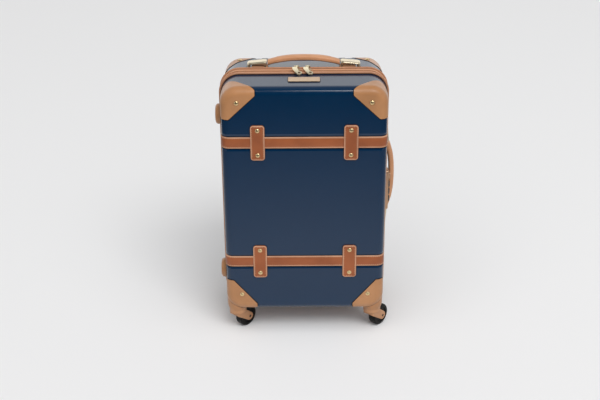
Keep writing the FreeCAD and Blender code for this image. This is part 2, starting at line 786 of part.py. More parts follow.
def make_handle(name):
    """A stitched leather handle in its own frame: X along it, Z away from the shell.

    The arched grip keeps its thickness down to its ends; flat tabs there go into the loops.
    """
    body = new_body(name)
    span, length, half = cell("HandleSpan") / 2, cell("HandleLength") / 2, cell("HandleWide") / 2
    low, end = cell("HandleEndLow"), cell("HandleEnd")
    rise, clear = cell("HandleRise") - end, cell("HandleClear") - low
    fullness = 2.4
    sections = []
    for share in (-1, -0.75, -0.4, 0, 0.4, 0.75, 1):
        arch = 1 - abs(share) ** fullness
        section = sketch_on(body, "YZ_Plane", span * share)
        rounded(section, -half, low + clear * arch, half, end + rise * arch, cell("HandleRound"))
        sections.append(section)
    grip = body.newObject("PartDesign::AdditiveLoft", f"{name}_loft")
    grip.Profile = sections[0]
    grip.Sections = sections[1:]
    for side in (-1, 1):
        tongue = sketch_on(body, "XY_Plane", cell("HandleSeat"))
        near, far = (span - 6) * side, length * side
        left, right = (far, near) if side < 0 else (near, far)
        rounded(tongue, left, -half, right, half, 3)
        pad(body, tongue, cell("TabThick"))
    return body


def lies_between(start, end):
    """A test for edges in the plane that is level across and holds these two (X, Z) points."""
    (x0, z0), (x1, z1) = [[float(part) for part in point] for point in (start, end)]

    def test(edge):
        heights = [z0 + (z1 - z0) * (corner.X - x0) / (x1 - x0) for corner in edge.Vertexes]
        return all(abs(corner.Z - height) < 1e-3 for corner, height in zip(edge.Vertexes, heights))
    return test


def sloped_block(name, inset, corner):
    """A rounded block that loses height towards the far end of a handle; with the two ends of its top."""
    body = new_body(name)
    half_x, half_y = cell("LoopLength") / 2 - inset, cell("LoopDepth") / 2 - inset
    near, far = cell("LoopX") - half_x, cell("LoopX") + half_x
    fall = (cell("LoopHeight") - cell("LoopFar")) * inset / cell("LoopLength")
    start = (near, cell("LoopHeight") - inset - fall)
    end = (far, cell("LoopFar") - inset + fall)
    plan = sketch_on(body, "XY_Plane")
    rounded(plan, near, -half_y, far, half_y, corner)
    pad(body, plan, cell("LoopHeight") + 2)
    slope = sketch_on(body, "XZ_Plane")
    over = cell("LoopHeight") + 4
    outline(slope, [start, end, (far, over), (near, over)])
    pocket(body, slope, cell("LoopDepth") + 2, middle=True)
    return body, start, end


def make_loop(name):
    """A metal bridge over one end of a handle, open towards the grip and at its sides."""
    wall, high, half_y = cell("LoopWall"), cell("LoopHeight"), cell("LoopDepth") / 2
    body, start, end = sloped_block(name, NOTHING, 7)
    round_edges(body, 4.0, lies_between(start, end))
    window = sketch_on(body, "XZ_Plane")
    rectangle(window, start[0] + 6, -1, end[0] - 6, high - 7)
    pocket(body, window, cell("LoopDepth") + 2, middle=True)
    mouth = sketch_on(body, "YZ_Plane", start[0] - 1)
    rectangle(mouth, -half_y + wall, -1, half_y - wall, high - wall - 0.6)
    pocket(body, mouth, wall + 8, reverse=True)
    hollow = sloped_block(f"{name}_hollow", wall, 5)[0]
    return boolean("Cut", f"{name}_bridge", body, hollow)


def make_carry_handle(tag, place, out):
    handle = make_handle(f"{tag}_grip")
    handle.Placement = place.multiply(Placement(Vector(0, 0, float(out)), Rotation()))
    node(handle, f"{tag}_handle")
    loop = make_loop(f"{tag}_loop")
    seat = place.multiply(Placement(Vector(0, 0, float(cell("SeatGap"))), Rotation()))
    half_turn = Placement(Vector(), Rotation(Vector(0, 0, 1), 180))
    node(copies(f"{tag}_loop_pair", loop, [seat, seat.multiply(half_turn)]), f"{tag}_handle_loops")


# Plate, rivets and side feet

def make_plate():
    body = new_body("plate")
    half_x, half_y = cell("PlateWidth") / 2, cell("PlateDepth") / 2
    plan = sketch_on(body, "XY_Plane")
    rounded(plan, -half_x, -half_y, half_x, half_y, 2)
    pad(body, plan, cell("PlateThick"))
    round_edges(body, 0.6, lies_at("Z", cell("PlateThick")))
    body.Placement = wall_place("front", "top", 0, float(cell("PlateY")), float(cell("SeatGap")))
    node(body, "name_plate")


def make_rivet_head(name):
    """A low dome on a flat base, turned about its own Z axis."""
    body = new_body(name)
    half, rise = cell("RivetWidth") / 2, cell("RivetRise")
    dome = (half * half + rise * rise) / (rise * 2)
    profile = sketch_on(body, "XZ_Plane")
    outline(profile, [(0, 0), (half, 0), (0, rise)], {1: dome})
    turn(body, profile)
    return body


def make_rivets(half):
    depth, way = SIDES[half]
    head = make_rivet_head(f"{half}_rivet")
    out = Rotation(Vector(1, 0, 0), -way * 90)
    face = float(cell("SplitY") + depth * way)
    gap = float(cell("SeatGap"))
    places = []
    for level in ("StrapUpper", "StrapLower"):
        for side in (-1, 1):
            for end in (-1, 1):
                z = float(cell("ShellBottom") + cell(level) + cell("KeeperRivet") * end)
                y = face + way * (float(cell("KeeperThick")) + 2 * gap)
                places.append(Placement(Vector(side * float(cell("KeeperX")), y, z), out))
    inset = drop(float(depth))
    low_z = cell("ShellBottom") + inset + cell("LowGuardRivetUp")
    for z in (low_z, RIM_TOP - inset - cell("GuardRivetUp")):
        for side in (-1, 1):
            y = face + way * (float(cell("GuardProud")) + gap)
            places.append(Placement(Vector(side * float(cell("GuardRivetX")), y, float(z)), out))
    if half == "rear":
        for side in (-1, 1):
            x = side * float(cell("GuardRivetX"))
            back = float(depth - cell("GuardRivetBack"))
            places.append(wall_place(half, "top", x, back, float(cell("GuardProud")) + 2 * gap))
    node(copies(f"{half}_rivet_set", head, places), f"{half}_rivets")


def make_side_feet():
    """Two round feet on the hinge side, shaped to the wall that they are screwed to."""
    feet = []
    for level in ("FootUpper", "FootLower"):
        body = new_body(f"foot_{level}")
        plan = sketch_on(body, "YZ_Plane", -cell("FootReach"))
        circle(plan, cell("SplitY") - cell("FootY"), cell(level), cell("FootRadius"))
        block = pad(body, plan, cell("FootReach") - HALF_WIDTH + 12)
        bind(block, "TaperAngle", 3)
        round_edges(body, cell("FootRound"), lies_at("X", -cell("FootReach")))
        feet.append(boolean("Cut", f"{body.Name}_seated", body, form("front", cell("SeatGap"))))
    node(together("foot_pair", feet), "side_feet")


# Combination lock on the right side, in a frame whose X axis points out of the wall

def make_lock():
    glue = 2 * float(cell("SeatGap"))
    place = wall_place("rear", "right", float(cell("LockZ")), float(cell("LockY")), glue)
    half_y, half_z, proud = cell("LockDepth") / 2, cell("LockLength") / 2, cell("LockProud")
    centre = proud + cell("DialProud") - cell("DialRadius")
    body = new_body("lock_case")
    flat = sketch_on(body, "YZ_Plane")
    rounded(flat, -half_y, -half_z, half_y, half_z, 5)
    pad(body, flat, proud)
    round_edges(body, 2.0, lies_at("X", proud))
    dial_levels = [cell("DialFirst") - cell("DialPitch") * number for number in range(3)]
    windows = sketch_on(body, "YZ_Plane", proud)
    room_y, room_z = cell("DialRadius") + 0.4, cell("DialThick") / 2 + 0.4
    for level in dial_levels:
        rectangle(windows, -room_y, level - room_z, room_y, level + room_z)
    button_y, button_z = cell("ButtonDepth") / 2, cell("ButtonLength") / 2
    rounded(windows, -button_y - 0.3, cell("ButtonZ") - button_z - 0.3, button_y + 0.3,
            cell("ButtonZ") + button_z + 0.3, 2)
    pocket(body, windows, proud - 0.4)
    slots = sketch_on(body, "XZ_Plane", half_y + 0.1)
    for level in (17.4, 21.2):
        rectangle(slots, 3.5, level, 8, level + 1.8)
    pocket(body, slots, 9)
    body.Placement = place
    low = dial_levels[-1] - room_z - 2
    length = dial_levels[0] + room_z + 2 - low
    upright = place.multiply(Placement(Vector(float(centre), 0, float(low)), Rotation()))
    spindle = tube_solid("lock_spindle", cell("SpindleRadius"), length, upright)
    node(boolean("Fuse", "lock_whole", body, spindle), "lock_housing")
    for number, level in enumerate(dial_levels, start=1):
        dial = new_body(f"dial_{number}")
        face = sketch_on(dial, "XY_Plane", -cell("DialThick") / 2)
        circle(face, 0, 0, cell("DialRadius"))
        circle(face, 0, 0, cell("SpindleRadius") + cell("RunFit"))
        pad(dial, face, cell("DialThick"))
        dial.Placement = place.multiply(Placement(Vector(float(centre), 0, float(level)), Rotation()))
        node(dial, f"lock_dial_{number}")
    button = new_body("lock_push")
    flat = sketch_on(button, "YZ_Plane", sized(4))
    rounded(flat, -button_y, cell("ButtonZ") - button_z, button_y, cell("ButtonZ") + button_z, 2)
    pad(button, flat, proud + cell("DialProud") - 4)
    round_edges(button, 1.0, lies_at("X", proud + cell("DialProud")))
    button.Placement = place
    node(button, "lock_button")


# Trolley handle: three nested stages, a grip that closes its tray, and a push button

def tube_pair(name, wide, deep, low, high):
    """Two tubes with round corners and a thin wall."""
    body = new_body(name)
    wall = cell("TubeWall")
    y = cell("SplitY") + cell("TrolleyY")
    sketch = sketch_on(body, "XY_Plane", low)
    for side in (-1, 1):
        x = cell("TrolleyX") * side
        for margin, corner in ((NOTHING, 4), (wall, 3)):
            rounded(sketch, x - wide / 2 + margin, y - deep / 2 + margin, x + wide / 2 - margin,
                    y + deep / 2 - margin, corner)
    pad(body, sketch, sized(high) - low)
    return body


def make_trolley(shell):
    y = cell("SplitY") + cell("TrolleyY")
    step = (cell("TubeWall") + cell("TubeGap")) * 2
    stages = ("trolley_outer_tubes", "trolley_middle_tubes", "trolley_inner_tubes")
    for number, label in enumerate(stages):
        wide, deep = cell("TubeWide") - step * number, cell("TubeDeep") - step * number
        low = cell("TubeLow") + 4 * number
        high = cell("TubeTop") if number < 2 else cell("GripLow") - 0.05
        node(tube_pair(f"stage_{number}", wide, deep, low, high), label)
    blocks = []
    foot, tube_x, tube_y = cell("TubeLow"), cell("TubeWide") / 2, cell("TubeDeep") / 2
    for side in (-1, 1):
        x = cell("TrolleyX") * side
        block = box(f"foot_block_{side}", (x - 15, y - 9.5, foot - 2), (x + 15, y + 11, foot + 20))
        room = box(f"foot_room_{side}", (x - tube_x - 0.1, y - tube_y - 0.1, foot),
                   (x + tube_x + 0.1, y + tube_y + 0.1, sized(FAR)))
        blocks.append(boolean("Cut", f"foot_bracket_{side}", block, room))
    node(together("foot_bracket_pair", blocks), "trolley_foot_brackets")

    def slot(name, wide, deep, low, corner):
        body = new_body(name)
        plan = sketch_on(body, "XY_Plane", low)
        rounded(plan, -wide / 2, y - deep / 2, wide / 2, y + deep / 2, corner)
        pad(body, plan, sized(60))
        return body
    wide, deep = cell("BezelWide"), cell("BezelDeep")
    floor = cell("GripLow") - 3
    flange = boolean("Common", "bezel_flange", slot("bezel_plan", wide, deep, floor, 8),
                     skin("bezel_layer", "rear", cell("BezelProud"), cell("SeatGap")))
    tub = boolean("Common", "bezel_tub", slot("tub_plan", wide - 6, deep - 6, floor, 6),
                  form("rear", cell("SeatGap")))
    tray = boolean("Fuse", "bezel_tray", flange, tub)
    well = slot("tray_well", cell("GripWide") + 0.8, cell("GripDeep") + 0.8, cell("GripLow") - 0.3, 5)
    open_tray = boolean("Cut", "bezel_open", tray, well)
    passages = []
    for side in (-1, 1):
        x = cell("TrolleyX") * side
        passages.append(box(f"passage_{side}", (x - tube_x, y - tube_y, floor - 5),
                            (x + tube_x, y + tube_y, sized(FAR * 2))))
    node(boolean("Cut", "bezel_whole", open_tray, together("passages", passages)), "trolley_bezel")
    hole = slot("shell_slot", wide - 5.6, deep - 5.6, floor - 8, 6.2)
    node(boolean("Cut", "rear_shell_whole", shell, hole), "rear_shell")

    grip_plan = slot("grip_plan", cell("GripWide"), cell("GripDeep"), cell("GripLow"), 5)
    bar = boolean("Common", "grip_bar", grip_plan, form("rear", cell("BezelProud") - 0.6))
    key_wide, key_deep, key_floor = sized(32), sized(11), cell("GripLow") + 8
    well = slot("key_well", key_wide + 0.6, key_deep + 0.6, key_floor - 3.5, 3)
    node(boolean("Cut", "grip_whole", bar, well), "trolley_grip")
    key = new_body("key")
    plan = sketch_on(key, "XY_Plane", key_floor)
    rounded(plan, -key_wide / 2, y - key_deep / 2, key_wide / 2, y + key_deep / 2, 2.7)
    pad(key, plan, RIM_TOP - drop(float(cell("TrolleyY"))) + 2 - key_floor)
    round_edges(key, 0.8, lies_at("Z", RIM_TOP - drop(float(cell("TrolleyY"))) + 2))
    node(key, "trolley_button")


# Zip sliders with leaf-shaped pulls that hang over the front piping

def make_slider(tag, x):
    y = cell("SplitY")
    low = RIM_TOP + cell("CoilRise") + 0.3
    half_x, half_y = cell("SliderLength") / 2, cell("SliderWidth") / 2
    body = new_body(f"slider_{tag}")
    plan = sketch_on(body, "XY_Plane", low)
    rounded(plan, x - half_x, y - half_y, x + half_x, y + half_y, 3)
    pad(body, plan, 1.8)
    bar_z, bar = RIM_TOP + cell("PullBarRise"), sized(1.0)
    posts = sketch_on(body, "XY_Plane", low)
    for side in (-1, 1):
        rectangle(posts, x + 4.2 * side - 0.9, y - 1.6, x + 4.2 * side + 0.9, y + 1.6)
    pad(body, posts, bar_z + 1.4 - low)
    across = sketch_on(body, "YZ_Plane", x)
    circle(across, y, bar_z, bar)
    pad(body, across, sized(8.4), middle=True)
    node(body, f"zip_slider_{tag}")

    leaf = new_body(f"leaf_{tag}")
    shape = sketch_on(leaf, "XY_Plane", bar_z - 20)
    ring_x, ring_y, ring_round = x + cell("PullSlant"), y - cell("PullReach"), cell("PullRing")
    neck, back, front = sized(2.6), y + 2.4, y - 2.5
    shoulder, shoulder_start, shoulder_end = x - 8.5, y - 5, y - 13
    hollow_start, hollow_end = (x + 1, y - 7), (x + 2.8, y - 18)
    left = [(x - neck, back), (x - neck, front), (shoulder, shoulder_start), (shoulder, shoulder_end),
            (ring_x - ring_round, ring_y - 1.5)]
    right = [(ring_x + ring_round, ring_y + 1), hollow_end, hollow_start, (x + neck, front), (x + neck, back)]
    outline(shape, left + right, {2: 16, 3: 40, 4: ring_round + 0.2, 6: -40})
    circle(shape, ring_x, ring_y, cell("PullHole"))
    pad(leaf, shape, 40)
    bend = new_body(f"bend_{tag}")
    thick, sweep = cell("PullThick"), sized(90)
    side = sketch_on(bend, "YZ_Plane", x)
    reach, fall = cell("PullReach") + 14.5, sized(12)
    tip_z = bar_z - fall
    outline(side, [(y + 3, bar_z - thick / 2), (y + 3, bar_z + thick / 2), (y - reach, tip_z + thick / 2),
                   (y - reach, tip_z - thick / 2)], {1: sweep + thick, 3: -sweep})
    pad(bend, side, sized(40), middle=True)
    sheet_metal = boolean("Common", f"pull_sheet_{tag}", leaf, bend)
    eye = tube_solid(f"eye_{tag}", sized(2.3), sized(5.2),
                     Placement(Vector(float(x) - 2.6, float(y), float(bar_z)), Rotation(Vector(0, 1, 0), 90)))
    whole = boolean("Fuse", f"pull_eye_{tag}", sheet_metal, eye)
    hole = tube_solid(f"eye_hole_{tag}", bar + cell("RunFit"), sized(12),
                      Placement(Vector(float(x) - 6, float(y), float(bar_z)), Rotation(Vector(0, 1, 0), 90)))
    node(boolean("Cut", f"pull_whole_{tag}", whole, hole), f"zip_pull_{tag}")


# The whole case

node(make_shell("front"), "front_shell")
make_trolley(make_shell("rear"))
for case_half in SIDES:
    make_lining(case_half)
    make_zip_half(case_half)
    make_piping(case_half)
    make_straps(case_half)
    make_keepers(case_half)
    make_rivets(case_half)
    upper = node(make_guard(case_half, "top"), f"guard_{case_half}_top_right")
    node(mirrored(f"upper_{case_half}_mirror", upper), f"guard_{case_half}_top_left")
    lower = node(make_caster_guard(case_half), f"caster_guard_{case_half}_right")
    node(mirrored(f"lower_{case_half}_mirror", lower), f"caster_guard_{case_half}_left")
    make_caster(case_half, "left", -1)
    make_caster(case_half, "right", 1)
make_hinge_bead()
make_packing_strap()
make_plate()
make_side_feet()
make_lock()
top_place = wall_place("rear", "top", 0, float(cell("HandleY")))
make_carry_handle("top", top_place, NOTHING)
side_place = wall_place("rear", "right", float(cell("HandleSideZ")), float(cell("HandleSide")))
lay_along = Placement(Vector(), Rotation(Vector(0, 1, 0), 90))
make_carry_handle("side", side_place.multiply(lay_along), cell("SideHandleOut"))
make_slider("left", cell("SliderLeftX"))
make_slider("right", cell("SliderRightX"))

doc.recompute()
failed = [thing.Name for thing in doc.Objects if {"Invalid", "Error"} & set(thing.State)]
if failed:
    raise RuntimeError(f"these did not compute: {failed}")
for thing in NODES:
    if thing.Shape.isNull() or not thing.Shape.isValid() or not thing.Shape.Solids:
        raise RuntimeError(f"{thing.Label} has no valid solid")

os.makedirs("parts", exist_ok=True)
for thing in NODES:
    thing.Shape.exportStep(f"parts/{thing.Label}.step")
print(f"{len(NODES)} pieces, {sum(len(thing.Shape.Solids) for thing in NODES)} solids")
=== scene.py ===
import math

import bmesh
import bpy
from mathutils import Matrix, Vector


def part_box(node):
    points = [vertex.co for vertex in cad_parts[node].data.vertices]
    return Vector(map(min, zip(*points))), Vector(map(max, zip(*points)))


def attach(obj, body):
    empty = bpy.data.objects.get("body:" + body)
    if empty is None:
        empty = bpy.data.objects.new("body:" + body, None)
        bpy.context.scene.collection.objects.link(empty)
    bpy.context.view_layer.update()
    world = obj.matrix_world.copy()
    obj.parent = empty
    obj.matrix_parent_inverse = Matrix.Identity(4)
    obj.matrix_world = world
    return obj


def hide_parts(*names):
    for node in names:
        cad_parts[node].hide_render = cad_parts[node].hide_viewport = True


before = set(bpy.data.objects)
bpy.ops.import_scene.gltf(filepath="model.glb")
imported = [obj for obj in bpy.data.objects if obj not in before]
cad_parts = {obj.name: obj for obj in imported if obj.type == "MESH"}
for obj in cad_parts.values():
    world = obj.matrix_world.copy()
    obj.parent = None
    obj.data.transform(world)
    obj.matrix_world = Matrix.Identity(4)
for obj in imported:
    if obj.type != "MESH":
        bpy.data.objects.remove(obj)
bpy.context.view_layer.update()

# Moulded shells.
# Two thin shells drawn over a drafted mould and dyed navy. Their polished face has the faint ripple of a
# vacuum-formed sheet, soft lips along the belts' channels and hair-fine marks, with painted shade in its
# close seams.

MARK_TURN, MARK_STRETCH, MARK_WIDTH = (0.3, 0.5, 0.7), (1.0, 0.16, 0.3), 0.02
TONE_PATCHES = 9.0
# SEAM_*: reach, thresholds and matte roughness of the painted shade in close seams.
SEAM_REACH, SEAM_SHUT, SEAM_CLEAR, SEAM_ROUGHNESS = 0.003, 0.55, 0.85, 0.95
RIPPLE_PER_METRE = 55.0
RIPPLE_HEIGHT = 0.00004
BELT_ROOM = 0.0125
CHANNEL_HALF, CHANNEL_LIP, LIP_HEIGHT = 0.0141, 0.0045, 0.0008
belt_low, belt_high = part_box("front_straps")
BELT_LEVELS = (belt_low.z + BELT_ROOM, belt_high.z - BELT_ROOM)


def finish(name, colour, roughness, metallic=0.0):
    """A plain Principled material with the colour and gloss of one finish."""
    material = bpy.data.materials.new(name)
    material.use_nodes = True
    shader = material.node_tree.nodes["Principled BSDF"]
    shader.inputs["Base Color"].default_value = (*colour, 1.0)
    shader.inputs["Roughness"].default_value = roughness
    shader.inputs["Metallic"].default_value = metallic
    return material


def add_node(tree, kind, inputs=None, **settings):
    """A node with its settings. Each named input is linked to a socket or set to a value."""
    node = tree.nodes.new(kind)
    for setting, value in settings.items():
        setattr(node, setting, value)
    for socket, value in (inputs or {}).items():
        if isinstance(value, bpy.types.NodeSocket):
            tree.links.new(value, node.inputs[socket])
        else:
            node.inputs[socket].default_value = value
    return node


def effect(name, inputs, outputs):
    """An empty shader group with number sockets, and its two end nodes."""
    group = bpy.data.node_groups.new(name, "ShaderNodeTree")
    for label, value in inputs.items():
        group.interface.new_socket(label, in_out="INPUT", socket_type="NodeSocketFloat").default_value = value
    for label in outputs:
        group.interface.new_socket(label, in_out="OUTPUT", socket_type="NodeSocketFloat")
    return group, group.nodes.new("NodeGroupInput"), group.nodes.new("NodeGroupOutput")


def place_effect(material, group, **values):
    """Puts a shader group in a material, with values of its own."""
    return add_node(material.node_tree, "ShaderNodeGroup", values, node_tree=group)


def tint(material, mask, first, second):
    """Lets the base colour run from one tone to another as the mask goes from 0 to 1."""
    tree = material.node_tree
    mix = add_node(tree, "ShaderNodeMix", data_type="RGBA")
    tree.links.new(mask, mix.inputs[0])
    mix.inputs[6].default_value = (*first, 1.0)
    mix.inputs[7].default_value = (*second, 1.0)
    tree.links.new(mix.outputs[2], tree.nodes["Principled BSDF"].inputs["Base Color"])


def gloss(material, mask, low, high):
    """Lets the roughness run between two values with the mask."""
    tree = material.node_tree
    spread = add_node(tree, "ShaderNodeMapRange", {"Value": mask, "To Min": low, "To Max": high})
    tree.links.new(spread.outputs[0], tree.nodes["Principled BSDF"].inputs["Roughness"])


def relief(material, height, depth):
    """Raises the surface by the height mask, at most by the depth in metres."""
    tree = material.node_tree
    bump = add_node(tree, "ShaderNodeBump", {"Height": height, "Distance": depth, "Strength": 1.0})
    tree.links.new(bump.outputs[0], tree.nodes["Principled BSDF"].inputs["Normal"])


def dress(material, *nodes):
    """Gives CAD nodes their finish."""
    for node in nodes:
        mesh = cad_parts[node].data
        mesh.materials.clear()
        mesh.materials.append(material)


handling, handling_in, handling_out = effect("handling_marks", {"Scale": 60.0}, ["Marks", "Tone"])
handling_at = add_node(handling, "ShaderNodeTexCoord")
handling_stretch = add_node(handling, "ShaderNodeMapping", {"Vector": handling_at.outputs["Object"]})
handling_stretch.inputs["Rotation"].default_value = MARK_TURN
handling_stretch.inputs["Scale"].default_value = MARK_STRETCH
handling_noise = add_node(handling, "ShaderNodeTexNoise", {
    "Vector": handling_stretch.outputs[0], "Scale": handling_in.outputs["Scale"],
    "Detail": 5.0, "Roughness": 0.6})
handling_line = add_node(handling, "ShaderNodeMath", {0: handling_noise.outputs[0], 1: 0.5},
                         operation="SUBTRACT")
handling_near = add_node(handling, "ShaderNodeMath", {0: handling_line.outputs[0]}, operation="ABSOLUTE")
handling_thin = add_node(handling, "ShaderNodeMapRange", {
    "Value": handling_near.outputs[0], "From Min": 0.0, "From Max": MARK_WIDTH,
    "To Min": 1.0, "To Max": 0.0})
handling_tone = add_node(handling, "ShaderNodeTexNoise", {
    "Vector": handling_at.outputs["Object"], "Scale": TONE_PATCHES, "Detail": 3.0})
handling.links.new(handling_thin.outputs[0], handling_out.inputs["Marks"])
handling.links.new(handling_tone.outputs[0], handling_out.inputs["Tone"])

# Painted shade: an occlusion mask, 0 where the surface is closely hemmed in and 1 where it is open.
seams, seams_in, seams_out = effect("painted_seam_shade", {"Reach": SEAM_REACH, "Shut": 0.5, "Clear": 1.0}, ["Open"])
seams_sight = add_node(seams, "ShaderNodeAmbientOcclusion", {"Distance": seams_in.outputs["Reach"]},
                       samples=8)
seams_spread = add_node(seams, "ShaderNodeMapRange", {
    "Value": seams_sight.outputs["AO"],
    "From Min": seams_in.outputs["Shut"], "From Max": seams_in.outputs["Clear"]})
seams.links.new(seams_spread.outputs[0], seams_out.inputs["Open"])


def paint_seam_shade(material, tone, shut, clear):
    """Paints shade: lets colour and gloss sink to a dark matte tone where the surface is hemmed in closely.
    """
    tree = material.node_tree
    shader = tree.nodes["Principled BSDF"]
    unshaded = place_effect(material, seams, Reach=SEAM_REACH, Shut=shut, Clear=clear).outputs["Open"]
    colour, rough = shader.inputs["Base Color"], shader.inputs["Roughness"]
    colour_mix = add_node(tree, "ShaderNodeMix", {0: unshaded, 7: colour.links[0].from_socket}, data_type="RGBA")
    colour_mix.inputs[6].default_value = (*tone, 1.0)
    rough_mix = add_node(tree, "ShaderNodeMix", {0: unshaded, 2: SEAM_ROUGHNESS, 3: rough.links[0].from_socket})
    tree.links.new(colour_mix.outputs[2], colour)
    tree.links.new(rough_mix.outputs[0], rough)


navy = finish("navy_shell", (0.0007, 0.019, 0.056), 0.16)
navy_marks = place_effect(navy, handling, Scale=70.0)
tint(navy, navy_marks.outputs["Tone"], (0.0005, 0.018, 0.053), (0.0009, 0.021, 0.060))
gloss(navy, navy_marks.outputs["Marks"], 0.15, 0.22)
navy_at = add_node(navy.node_tree, "ShaderNodeTexCoord")
navy_ripple = add_node(navy.node_tree, "ShaderNodeTexNoise", {
    "Vector": navy_at.outputs["Object"], "Scale": RIPPLE_PER_METRE, "Detail": 1.0})
navy_split = add_node(navy.node_tree, "ShaderNodeSeparateXYZ", {0: navy_at.outputs["Object"]})
navy_height = add_node(navy.node_tree, "ShaderNodeMath", {0: navy_ripple.outputs[0], 1: RIPPLE_HEIGHT},
                       operation="MULTIPLY")
for channel_level in BELT_LEVELS:
    channel_off = add_node(navy.node_tree, "ShaderNodeMath", {0: navy_split.outputs["Z"], 1: channel_level},
                           operation="SUBTRACT")
    channel_away = add_node(navy.node_tree, "ShaderNodeMath", {0: channel_off.outputs[0]},
                            operation="ABSOLUTE")
    channel_lip = add_node(navy.node_tree, "ShaderNodeMapRange", {
        "Value": channel_away.outputs[0], "From Min": CHANNEL_HALF, "From Max": CHANNEL_HALF + CHANNEL_LIP,
        "To Min": -LIP_HEIGHT, "To Max": 0.0}, interpolation_type="SMOOTHSTEP")
    navy_height = add_node(navy.node_tree, "ShaderNodeMath", {
        0: navy_height.outputs[0], 1: channel_lip.outputs[0]}, operation="ADD")
relief(navy, navy_height.outputs[0], 1.0)
# Painted shade: the navy sinks to near black and turns matte where belts, keepers, guards and loops hem it
# in.
paint_seam_shade(navy, (0.0004, 0.004, 0.011), SEAM_SHUT, SEAM_CLEAR)
dress(navy, "front_shell", "rear_shell")

# Linings.
# A thin woven cloth, cut in panels and glued inside each shell, with a bay over the trolley tubes in the back
# half. Its weave is fine and its colour a warm sand.

WELD, FLAT_WITHIN, ROUND_FROM = 1e-6, 0.01, 0.7
SHARP_FROM = math.radians(38)
LINING_THREADS, SLUBS = 900.0, 140.0
FRONT_LINING_CUT, FRONT_LINING_AREA = (0.503, 0.672), 0.29
REAR_LINING_CUT, REAR_LINING_AREA = (0.535, 0.704), 0.35


def piece(name, form):
    """A finished mesh as an object of its own, smooth apart from its sharp edges."""
    mesh = bpy.data.meshes.new(name)
    bmesh.ops.triangulate(form, faces=[face for face in form.faces if len(face.verts) > 4])
    form.to_mesh(mesh)
    form.free()
    mesh.polygons.foreach_set("use_smooth", [True] * len(mesh.polygons))
    mesh.set_sharp_from_angle(angle=SHARP_FROM)
    made = bpy.data.objects.new(name, mesh)
    bpy.context.scene.collection.objects.link(made)
    return made


def softened(name, node, round_by=0.0):
    """A sewn or glued piece in the place of its CAD solid: the same form, with its hard edges rounded off."""
    form = bmesh.new()
    form.from_mesh(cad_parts[node].data)
    bmesh.ops.remove_doubles(form, verts=form.verts, dist=WELD)
    bmesh.ops.dissolve_limit(form, angle_limit=FLAT_WITHIN, verts=form.verts, edges=form.edges)
    if round_by:
        corners = [edge for edge in form.edges if edge.is_manifold and edge.calc_face_angle() > ROUND_FROM]
        bmesh.ops.bevel(form, geom=corners, offset=round_by, affect="EDGES", segments=2, profile=0.5,
                        material=-1, clamp_overlap=True)
    return piece(name, form)


weave, weave_in, weave_out = effect("weave", {"Threads": LINING_THREADS}, ["Height", "Shade"])
weave_at = add_node(weave, "ShaderNodeTexCoord")
weave_split = add_node(weave, "ShaderNodeSeparateXYZ", {0: weave_at.outputs["Object"]})
weave_turns = add_node(weave, "ShaderNodeMath", {0: weave_in.outputs["Threads"], 1: math.pi},
                       operation="MULTIPLY")
weave_waves = []
for weave_first, weave_second in (("X", "Z"), ("Y", "Z")):
    weave_sum = add_node(weave, "ShaderNodeMath", {0: weave_split.outputs[weave_first],
                                                   1: weave_split.outputs[weave_second]}, operation="ADD")
    weave_phase = add_node(weave, "ShaderNodeMath", {0: weave_sum.outputs[0], 1: weave_turns.outputs[0]},
                           operation="MULTIPLY")
    weave_waves.append(add_node(weave, "ShaderNodeMath", {0: weave_phase.outputs[0]}, operation="SINE"))
weave_cross = add_node(weave, "ShaderNodeMath", {0: weave_waves[0].outputs[0], 1: weave_waves[1].outputs[0]},
                       operation="MULTIPLY")
weave_height = add_node(weave, "ShaderNodeMapRange", {"Value": weave_cross.outputs[0], "From Min": -1.0})
weave_slub = add_node(weave, "ShaderNodeTexNoise", {"Vector": weave_at.outputs["Object"], "Scale": SLUBS})
weave_shade = add_node(weave, "ShaderNodeMath", {0: weave_height.outputs[0], 1: weave_slub.outputs[0]},
                       operation="MULTIPLY")
weave.links.new(weave_height.outputs[0], weave_out.inputs["Height"])
weave.links.new(weave_shade.outputs[0], weave_out.inputs["Shade"])


def cloth(name, dark, pale, threads, depth):
    """A woven cloth, with its threads shaded and raised."""
    material = finish(name, pale, 0.85)
    threads_node = place_effect(material, weave, Threads=threads)
    tint(material, threads_node.outputs["Shade"], dark, pale)
    relief(material, threads_node.outputs["Height"], depth)
    return material


lining_cloth = cloth("lining_cloth", (0.20, 0.14, 0.085), (0.40, 0.30, 0.20), LINING_THREADS, 0.0001)
for lining_node, lining_body, lining_shell, lining_cut, lining_area in (
        ("front_lining", "front_lid", "front_shell", FRONT_LINING_CUT, FRONT_LINING_AREA),
        ("rear_lining", "rear_case", "rear_shell", REAR_LINING_CUT, REAR_LINING_AREA)):
    lining = softened(f"{lining_node}_cloth", lining_node)
    lining.data.materials.append(lining_cloth)
    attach(lining, lining_body)
    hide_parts(lining_node)

# Zip tapes.
# A woven tan tape runs round the rim of each shell and carries half of the zip's spiral coil. On the left,
# where the case hinges, the coil stops short of the folded bead.

